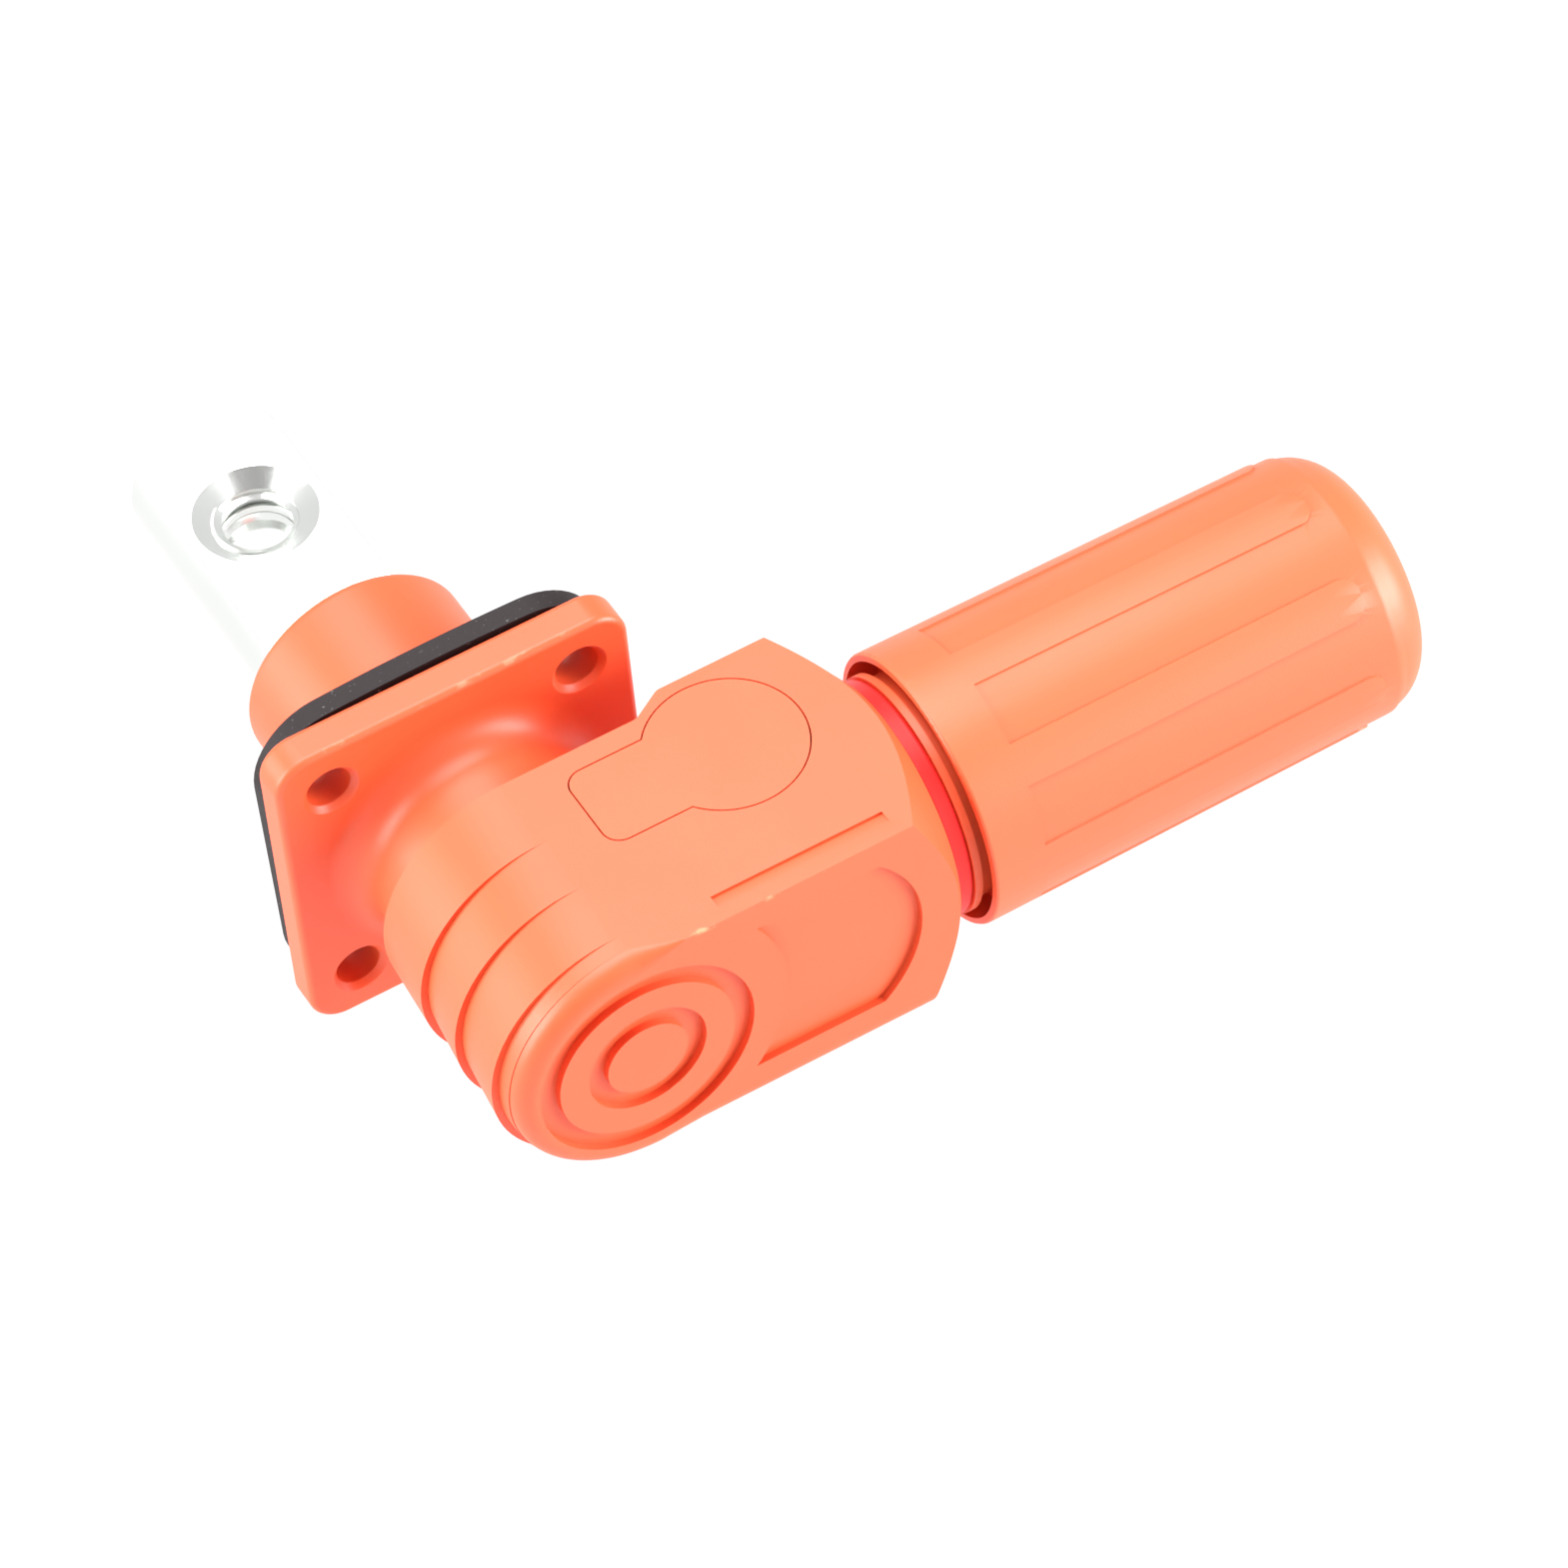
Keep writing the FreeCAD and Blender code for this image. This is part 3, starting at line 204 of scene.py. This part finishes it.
def vary_gloss(tree, share, smooth, rough, shader):
    """Lets a pattern carry the shader's roughness from one value to another."""
    gloss = tree.nodes.new("ShaderNodeMapRange")
    gloss.inputs["To Min"].default_value = smooth
    gloss.inputs["To Max"].default_value = rough
    tree.links.new(share, gloss.inputs["Value"])
    tree.links.new(gloss.outputs["Result"], shader.inputs["Roughness"])


def relief(tree, height, strength, depth, shader):
    """Lets a pattern stand out of the surface by a fine depth."""
    bump = tree.nodes.new("ShaderNodeBump")
    bump.inputs["Strength"].default_value = strength
    bump.inputs["Distance"].default_value = depth
    tree.links.new(height, bump.inputs["Height"])
    tree.links.new(bump.outputs["Normal"], shader.inputs["Normal"])


def moulded_plastic(name, colour, shade, roughness, grain):
    """Satin moulded plastic: a fine grain in the bump, and slow clouds of gloss and colour."""
    material, tree, shader, place = new_finish(name)
    shader.inputs["IOR"].default_value = 1.5
    clouds = noise(tree, place, 90, 4)
    vary_colour(tree, clouds, colour, shade, shader)
    vary_gloss(tree, clouds, roughness - 0.05, roughness + 0.06, shader)
    relief(tree, noise(tree, place, 6000, 2), grain, 0.00004, shader)
    return material


def merged_copy(node):
    """The mesh of a CAD node with its doubled corners joined and its flat faces whole."""
    same_point = 2e-6
    same_plane = math.radians(0.4)
    mesh = bmesh.new()
    mesh.from_mesh(nodes[node].data)
    bmesh.ops.remove_doubles(mesh, verts=mesh.verts, dist=same_point)
    bmesh.ops.dissolve_limit(mesh, angle_limit=same_plane, verts=mesh.verts, edges=mesh.edges)
    return mesh


def shade_smooth(mesh, sharp_from):
    """Shades a mesh smooth, but sharp where faces meet at more than the given degrees."""
    mesh.polygons.foreach_set("use_smooth", [True] * len(mesh.polygons))
    mesh.set_sharp_from_angle(angle=math.radians(sharp_from))


def settle(piece):
    """Keeps what the modifiers make of a piece as its plain mesh, and takes them off."""
    finished = bpy.data.meshes.new_from_object(piece.evaluated_get(bpy.context.evaluated_depsgraph_get()))
    piece.modifiers.clear()
    piece.data = finished
    return finished


def soft_edged(mesh, name, edge_radius, steps=2, sharp_from=32):
    """A piece made of a mesh, its edges rounded by a small radius and its faces shaded evenly."""
    merged = bpy.data.meshes.new(name)
    mesh.to_mesh(merged)
    mesh.free()
    piece = bpy.data.objects.new(name, merged)
    bpy.context.scene.collection.objects.link(piece)
    shade_smooth(merged, sharp_from)
    bevel = piece.modifiers.new("soft_edges", "BEVEL")
    bevel.width = edge_radius
    bevel.segments = steps
    bevel.limit_method = "ANGLE"
    bevel.angle_limit = math.radians(sharp_from)
    bevel.miter_outer = "MITER_ARC"
    even = piece.modifiers.new("even_shading", "WEIGHTED_NORMAL")
    even.keep_sharp = True
    settle(piece)
    return piece


def dress(piece, material, slot, body, *stands_for):
    """Gives a piece its material, the body it rides on and the CAD nodes it stands for; the slot is not used.
    """
    piece.data.materials.clear()
    piece.data.materials.append(material)
    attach(piece, body)
    if stands_for:
        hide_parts(*stands_for)


def highlight_and_wear_line(material, y, z, width, pale):
    """Pale, broken marks painted on a moulded edge that runs along X at the given place: a painted edge
    highlight with a little wear.
    """
    tree = material.node_tree
    place = tree.nodes.new("ShaderNodeTexCoord").outputs["Object"]
    apart = tree.nodes.new("ShaderNodeSeparateXYZ")
    tree.links.new(place, apart.inputs["Vector"])
    across = tree.nodes.new("ShaderNodeCombineXYZ")
    tree.links.new(apart.outputs["Y"], across.inputs["Y"])
    tree.links.new(apart.outputs["Z"], across.inputs["Z"])
    away = tree.nodes.new("ShaderNodeVectorMath")
    away.operation = "DISTANCE"
    away.inputs[1].default_value = (0, y, z)
    tree.links.new(across.outputs["Vector"], away.inputs[0])
    near = tree.nodes.new("ShaderNodeMapRange")
    near.inputs["From Min"].default_value = width
    near.inputs["From Max"].default_value = 0.5 * width
    tree.links.new(away.outputs["Value"], near.inputs["Value"])
    broken = tree.nodes.new("ShaderNodeMapRange")
    broken.inputs["From Min"].default_value = 0.56
    broken.inputs["From Max"].default_value = 0.66
    tree.links.new(noise(tree, place, 420, 5), broken.inputs["Value"])
    share = tree.nodes.new("ShaderNodeMath")
    share.operation = "MULTIPLY"
    tree.links.new(near.outputs["Result"], share.inputs[0])
    tree.links.new(broken.outputs["Result"], share.inputs[1])
    pale_mark = tree.nodes.new("ShaderNodeMix")
    pale_mark.data_type = "RGBA"
    pale_mark.inputs["B"].default_value = (*pale, 1)
    colour = tree.nodes["Principled BSDF"].inputs["Base Color"]
    tree.links.new(colour.links[0].from_socket, pale_mark.inputs["A"])
    tree.links.new(share.outputs["Value"], pale_mark.inputs["Factor"])
    tree.links.new(pale_mark.outputs["Result"], colour)


# The flange's colour is a little darker than the shell's: painted shade, for the flange face that the plug
# shades.
flange_orange = moulded_plastic("orange_flange", (0.77, 0.100, 0.033), (0.74, 0.091, 0.029),
                                roughness=0.40, grain=0.25)
highlight_and_wear_line(flange_orange, y=-0.0036, z=0.0183, width=0.00035, pale=(0.80, 0.185, 0.095))
flange = soft_edged(merged_copy("receptacle_housing"), "flange_moulding", edge_radius=0.00025)
dress(flange, flange_orange, "orange_flange", "receptacle", "receptacle_housing")


# Busbar terminal: a turned copper bar, milled flat on two sides and tapped M8, with thick satin silver
# plating. The thread is a helical ridge in the bored hole, and the flats keep fine milling lines.
def plated_metal(name, colour, roughness, line_scale, line_depth):
    """Plated metal with fine tool lines, given as a stretched noise, and slow clouds of gloss."""
    material, tree, shader, place = new_finish(name)
    shader.inputs["Metallic"].default_value = 1
    stretch = tree.nodes.new("ShaderNodeMapping")
    stretch.inputs["Scale"].default_value = line_scale
    tree.links.new(place, stretch.inputs["Vector"])
    lines = noise(tree, stretch.outputs["Vector"], 100, 5)
    clouds = noise(tree, place, 160, 3)
    vary_colour(tree, lines, colour, [0.97 * c for c in colour], shader)
    vary_gloss(tree, clouds, roughness - 0.04, roughness + 0.06, shader)
    relief(tree, lines, line_depth, 0.00002, shader)
    return material


def helix_tree():
    """Geometry Nodes tree: a wire or thread ridge that climbs a helix along Z."""
    tree = bpy.data.node_groups.new("helix", "GeometryNodeTree")
    tree.interface.new_socket("Geometry", in_out="OUTPUT", socket_type="NodeSocketGeometry")
    for name, kind in (
        ("Turns", "NodeSocketFloat"),
        ("Radius", "NodeSocketFloat"),
        ("Height", "NodeSocketFloat"),
        ("Wire Radius", "NodeSocketFloat"),
        ("Wire Sides", "NodeSocketInt"),
        ("Steps per Turn", "NodeSocketInt"),
        ("Place", "NodeSocketVector"),
        ("Direction", "NodeSocketRotation"),
        ("Material", "NodeSocketMaterial"),
    ):
        tree.interface.new_socket(name, in_out="INPUT", socket_type=kind)
    given = tree.nodes.new("NodeGroupInput")
    spiral = tree.nodes.new("GeometryNodeCurveSpiral")
    tree.links.new(given.outputs["Steps per Turn"], spiral.inputs["Resolution"])
    tree.links.new(given.outputs["Turns"], spiral.inputs["Rotations"])
    tree.links.new(given.outputs["Radius"], spiral.inputs["Start Radius"])
    tree.links.new(given.outputs["Radius"], spiral.inputs["End Radius"])
    tree.links.new(given.outputs["Height"], spiral.inputs["Height"])
    section = tree.nodes.new("GeometryNodeCurvePrimitiveCircle")
    tree.links.new(given.outputs["Wire Sides"], section.inputs["Resolution"])
    tree.links.new(given.outputs["Wire Radius"], section.inputs["Radius"])
    sweep = tree.nodes.new("GeometryNodeCurveToMesh")
    sweep.inputs["Fill Caps"].default_value = True
    tree.links.new(spiral.outputs["Curve"], sweep.inputs["Curve"])
    tree.links.new(section.outputs["Curve"], sweep.inputs["Profile Curve"])
    turn = tree.nodes.new("GeometryNodeTransform")
    tree.links.new(sweep.outputs["Mesh"], turn.inputs["Geometry"])
    tree.links.new(given.outputs["Place"], turn.inputs["Translation"])
    tree.links.new(given.outputs["Direction"], turn.inputs["Rotation"])
    real = tree.nodes.new("GeometryNodeRealizeInstances")
    tree.links.new(turn.outputs["Geometry"], real.inputs["Geometry"])
    coat = tree.nodes.new("GeometryNodeSetMaterial")
    tree.links.new(real.outputs["Geometry"], coat.inputs["Geometry"])
    tree.links.new(given.outputs["Material"], coat.inputs["Material"])
    out = tree.nodes.new("NodeGroupOutput")
    tree.links.new(coat.outputs["Geometry"], out.inputs["Geometry"])
    return tree


helix = helix_tree()


def helix_piece(name, material, turns, radius, height, wire, sides, steps, place, direction, sharp_from):
    """Runs the helix tree once and keeps its result as a plain mesh."""
    piece = bpy.data.objects.new(name, bpy.data.meshes.new(name))
    bpy.context.scene.collection.objects.link(piece)
    modifier = piece.modifiers.new("helix", "NODES")
    modifier.node_group = helix
    values = {
        "Turns": turns, "Radius": radius, "Height": height, "Wire Radius": wire, "Wire Sides": sides,
        "Steps per Turn": steps, "Place": place, "Direction": direction, "Material": material,
    }
    for socket in helix.interface.items_tree:
        if socket.in_out == "INPUT":
            modifier[socket.identifier] = values[socket.name]
    shade_smooth(settle(piece), sharp_from)
    return piece


silver = plated_metal("silver_plate", (0.85, 0.865, 0.845), roughness=0.20,
                      line_scale=(1.0, 0.06, 1.0), line_depth=0.12)
bar = soft_edged(merged_copy("busbar_terminal"), "busbar_bar", edge_radius=0.00012, sharp_from=20)
dress(bar, silver, "silver_plate", "receptacle", "busbar_terminal")
hole_half_depth = 0.0029
m8_radius = 0.0040
m8_pitch = 0.00125
m8_ridge = 0.49 * m8_pitch
m8_thread = helix_piece("busbar_thread", silver, turns=2 * hole_half_depth / m8_pitch, radius=m8_radius,
                        height=2 * hole_half_depth, wire=m8_ridge, sides=4, steps=72,
                        place=(0, hole_mouth[1], -hole_half_depth), direction=(0, 0, 0), sharp_from=30)
dress(m8_thread, silver, "silver_plate", "receptacle")


# Pin guard cap: the insulating tip of the contact pin, moulded in a slightly deeper orange than the flange
# and snapped in. The plug's insulators further on are made of the same plastic.
def finish(material, *names):
    """Gives CAD nodes whose shape is right their material."""
    for name in names:
        nodes[name].material_slots[0].material = material


insulator = moulded_plastic("orange_insulator", (0.80, 0.100, 0.026), (0.77, 0.090, 0.024),
                            roughness=0.45, grain=0.2)
finish(insulator, "pin_guard_cap")


# Panel gasket: a black sheet-rubber square between flange and panel, punched round the boss and the screws.
# It isn't clamped yet, so it stands off the flange a little between its corners and shows a dark gap there.
def rubber(name, colour, roughness, dust):
    """Matt rubber: a fine mottled surface with a little pale dust on it."""
    material, tree, shader, place = new_finish(name)
    shader.inputs["Specular IOR Level"].default_value = 0.25
    specks = noise(tree, place, 2500, 3)
    pale = tree.nodes.new("ShaderNodeMapRange")
    pale.inputs["From Min"].default_value = 0.66
    pale.inputs["From Max"].default_value = 0.80
    tree.links.new(specks, pale.inputs["Value"])
    vary_colour(tree, pale.outputs["Result"], colour, [c + dust for c in colour], shader)
    vary_gloss(tree, specks, roughness - 0.08, roughness + 0.08, shader)
    relief(tree, specks, 0.2, 0.00003, shader)
    return material


def gasket_sheet():
    """The gasket's sheet in rings from the bore out to the rounded square, punched, rounded and bowed."""
    low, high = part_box("panel_gasket")
    half = (high[0] - low[0]) / 2
    inset = 0.0003
    corner_r = 0.0071
    bore_r = 0.0123
    thickness = 0.0022
    stand_off = 0.00008
    bow = 0.0007
    screw_pitch = 0.026
    punch_r = 0.00245
    askew = Matrix.Rotation(math.radians(-0.8), 3, "Y")
    aside = Vector((0.0001, 0, 0))
    corner_steps = 12
    edge_steps = 20
    rings = 8
    straight = half - inset - corner_r
    outline = []
    for quarter in range(4):
        turn = Matrix.Rotation(-quarter * math.pi / 2, 3, "Y")
        for i in range(edge_steps):
            along = straight * (2 * i / edge_steps - 1)
            outline.append(turn @ Vector((straight + corner_r, 0, along)))
        for i in range(corner_steps):
            a = math.pi / 2 * i / corner_steps
            round_corner = Vector((straight + corner_r * math.cos(a), 0, straight + corner_r * math.sin(a)))
            outline.append(turn @ round_corner)
    mesh = bmesh.new()
    loops = []
    for ring in range(rings + 1):
        share = ring / rings
        loop = [p.normalized() * bore_r * (1 - share) + p * share for p in outline]
        loops.append([mesh.verts.new(p) for p in loop])
    for inner, outer in zip(loops, loops[1:]):
        for i in range(len(outline)):
            j = (i + 1) % len(outline)
            mesh.faces.new((inner[i], outer[i], outer[j], inner[j]))
    bmesh.ops.recalc_face_normals(mesh, faces=mesh.faces)
    sheet = bpy.data.meshes.new("gasket_sheet")
    mesh.to_mesh(sheet)
    mesh.free()
    piece = bpy.data.objects.new("gasket_sheet", sheet)
    bpy.context.scene.collection.objects.link(piece)
    thick = piece.modifiers.new("thickness", "SOLIDIFY")
    thick.thickness = thickness
    thick.offset = 0
    upright = Matrix.Rotation(math.pi / 2, 4, "X")
    punches = []
    for x in (-screw_pitch / 2, screw_pitch / 2):
        for z in (-screw_pitch / 2, screw_pitch / 2):
            punch_mesh = bmesh.new()
            bmesh.ops.create_cone(punch_mesh, cap_ends=True, segments=48, radius1=punch_r, radius2=punch_r,
                                  depth=0.01, matrix=Matrix.Translation((x, 0, z)) @ upright)
            data = bpy.data.meshes.new("punch")
            punch_mesh.to_mesh(data)
            punch_mesh.free()
            punch = bpy.data.objects.new("punch", data)
            bpy.context.scene.collection.objects.link(punch)
            cut = piece.modifiers.new("screw_hole", "BOOLEAN")
            cut.operation = "DIFFERENCE"
            cut.solver = "EXACT"
            cut.object = punch
            punches.append(punch)
    soft = piece.modifiers.new("soft_edges", "BEVEL")
    soft.width = 0.0002
    soft.segments = 2
    soft.limit_method = "ANGLE"
    soft.angle_limit = math.radians(50)
    finished = settle(piece)
    for punch in punches:
        bpy.data.objects.remove(punch)
    for vertex in finished.vertices:
        x, y, z = vertex.co
        lift = bow * (1 - (x / half) ** 2) * (z / half) ** 2
        vertex.co = askew @ Vector((x, y + thickness / 2 + stand_off + lift, z)) + aside
    shade_smooth(finished, 40)
    return piece


black_rubber = rubber("black_rubber", (0.017, 0.012, 0.013), roughness=0.6, dust=0.14)
dress(gasket_sheet(), black_rubber, "black_rubber", "receptacle", "panel_gasket")

# Terminal seal ring and circlip: a rubber cord ring in the bar's groove, and the stamped spring-steel ring
# that holds the bar in the boss. Both sit inside the boss.
seal_rubber = rubber("seal_rubber", (0.035, 0.033, 0.034), roughness=0.5, dust=0.08)
finish(seal_rubber, "terminal_seal_ring")
spring_steel = plated_metal("spring_steel", (0.62, 0.61, 0.60), roughness=0.30,
                            line_scale=(1.0, 1.0, 0.1), line_depth=0.1)
finish(spring_steel, "terminal_circlip")

# Elbow housing: the plug's right-angle shell, one moulding with grip bands, a button pocket and a gland neck.
# A pale broken line is painted along the upper edge of its front, a painted edge highlight with a little
# wear. The neck's land is brought in to the root of its thread, and the thread is a helical ridge wound on
# it.
shell_orange = moulded_plastic("orange_shell", (0.78, 0.104, 0.034), (0.75, 0.095, 0.030),
                               roughness=0.42, grain=0.3)
highlight_and_wear_line(shell_orange, y=-0.0370, z=0.0136, width=0.00035, pale=(0.84, 0.27, 0.13))
cable_y = -0.0238
land_start_x = 0.0462
land_r = 0.01195
root_r = 0.0113
slack = 1e-5
elbow_mesh = merged_copy("elbow_housing")
for vertex in elbow_mesh.verts:
    out = Vector((0, vertex.co.y - cable_y, vertex.co.z))
    if vertex.co.x > land_start_x - slack and out.length > root_r + slack:
        out.length = root_r
        vertex.co.y = cable_y + out.y
        vertex.co.z = out.z
elbow = soft_edged(elbow_mesh, "elbow_moulding", edge_radius=0.00022)
dress(elbow, shell_orange, "orange_shell", "plug", "elbow_housing")
neck_pitch = 0.002
neck_turns = 6
neck_run_in = 0.0009
neck_thread = helix_piece("neck_thread", shell_orange, turns=neck_turns, radius=root_r,
                          height=neck_turns * neck_pitch, wire=land_r - root_r, sides=6, steps=96,
                          place=(land_start_x + neck_run_in, cable_y, 0), direction=(0, math.pi / 2, 0),
                          sharp_from=30)
dress(neck_thread, shell_orange, "orange_shell", "plug")

# Release button: a keyhole-shaped push button in the elbow's top, moulded apart, with a thin gap all round.
# Its foot stops just above the latch ring. Under it stands a small coil spring of round steel wire.
button_orange = moulded_plastic("orange_button", (0.78, 0.106, 0.034), (0.75, 0.097, 0.030),
                                roughness=0.42, grain=0.3)
foot_room = 0.0004
button_mesh = merged_copy("release_button")
foot_z = min(vertex.co.z for vertex in button_mesh.verts)
for vertex in button_mesh.verts:
    if vertex.co.z < foot_z + slack:
        vertex.co.z += foot_room
button = soft_edged(button_mesh, "button_moulding", edge_radius=0.0002, steps=3)
dress(button, button_orange, "orange_button", "button", "release_button")
spring_low, spring_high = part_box("button_spring")
spring_wire = 0.00028
spring_r = 0.0019
spring_y = -0.0195
spring_foot = ((spring_low[0] + spring_high[0]) / 2, spring_y, spring_low[2] + spring_wire)
spring_height = spring_high[2] - spring_low[2] - 2 * spring_wire
coil = helix_piece("button_coil", spring_steel, turns=4, radius=spring_r, height=spring_height,
                   wire=spring_wire, sides=12, steps=40, place=spring_foot, direction=(0, 0, 0),
                   sharp_from=60)
dress(coil, spring_steel, "spring_steel", "plug", "button_spring")
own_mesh(coil)

# Latch ring: an open ring of round spring wire, half in the collar's groove and half in the plug's rim.
# It holds the plug on the receptacle, and gives way as the button goes in.
finish(spring_steel, "latch_ring")

# Contact carrier and guard ring: the insulating sleeve round the socket, and the ring that keeps fingers off
# it. The interface seal on the sleeve is moulded silicone with two soft lips.
red_silicone = rubber("red_silicone", (0.66, 0.020, 0.018), roughness=0.42, dust=0.04)
finish(insulator, "contact_carrier", "socket_guard_ring")
finish(red_silicone, "interface_seal")

# Socket, spring crown, crimp terminal, bolt and washer: the metal that carries the current, all plated,
# the crown in spring bronze and the bolt in zinc-plated steel.
bronze = plated_metal("spring_bronze", (0.80, 0.56, 0.27), roughness=0.28,
                      line_scale=(1.0, 0.1, 1.0), line_depth=0.08)
zinc = plated_metal("bolt_steel", (0.56, 0.56, 0.57), roughness=0.34,
                    line_scale=(1.0, 1.0, 1.0), line_depth=0.1)
finish(silver, "socket_contact", "crimp_terminal")
finish(bronze, "contact_crown")
finish(zinc, "contact_bolt", "lock_washer")

# Neck seal: a red silicone ring on the neck, squeezed between the elbow and the ridge.
# Its rim is rounded, as a moulded ring's is.
neck_seal = soft_edged(merged_copy("neck_seal"), "neck_seal_ring", edge_radius=0.00045, steps=3)
dress(neck_seal, red_silicone, "red_silicone", "plug", "neck_seal")

# Cable gland inside the nut: a ribbed rubber grommet, a slotted clamping collet and a plain thrust washer,
# the last two of natural polyamide, which is milky and slightly translucent.
nylon = moulded_plastic("white_nylon", (0.82, 0.81, 0.77), (0.78, 0.77, 0.73), roughness=0.45, grain=0.15)
nylon.node_tree.nodes["Principled BSDF"].inputs["Subsurface Weight"].default_value = 0.1
nylon.node_tree.nodes["Principled BSDF"].inputs["Subsurface Radius"].default_value = (0.001, 0.001, 0.001)
finish(seal_rubber, "cable_grommet")
finish(nylon, "clamp_collet", "thrust_washer")

# Gland nut: a long, slightly tapered nut with eight low grip pads, moulded in the shell's plastic.
# The rounds between the pads are brought out a little, so that the pads stand about 0.2 mm proud.
# The nut's colour is lighter than the shell's, though it is the same plastic: painted light, where the lamps
# light the nut too little.
nut_orange = moulded_plastic("orange_nut", (0.79, 0.121, 0.044), (0.76, 0.111, 0.039),
                             roughness=0.42, grain=0.3)
nut_x = (0.0365, 0.0855)
nut_r = (0.01385, 0.0134)
pad_height = 0.0004
filled_share = 0.45
core_reach = 6e-5
nut_mesh = merged_copy("gland_nut")
for vertex in nut_mesh.verts:
    share = (vertex.co.x - nut_x[0]) / (nut_x[1] - nut_x[0])
    taper_r = nut_r[0] * (1 - share) + nut_r[1] * share
    out = Vector((0, vertex.co.y - cable_y, vertex.co.z))
    if abs(out.length - taper_r + pad_height) < core_reach:
        out.length += filled_share * pad_height
        vertex.co.y = cable_y + out.y
        vertex.co.z = out.z
nut = soft_edged(nut_mesh, "nut_moulding", edge_radius=0.0003, steps=3, sharp_from=25)
dress(nut, nut_orange, "orange_nut", "nut", "gland_nut")
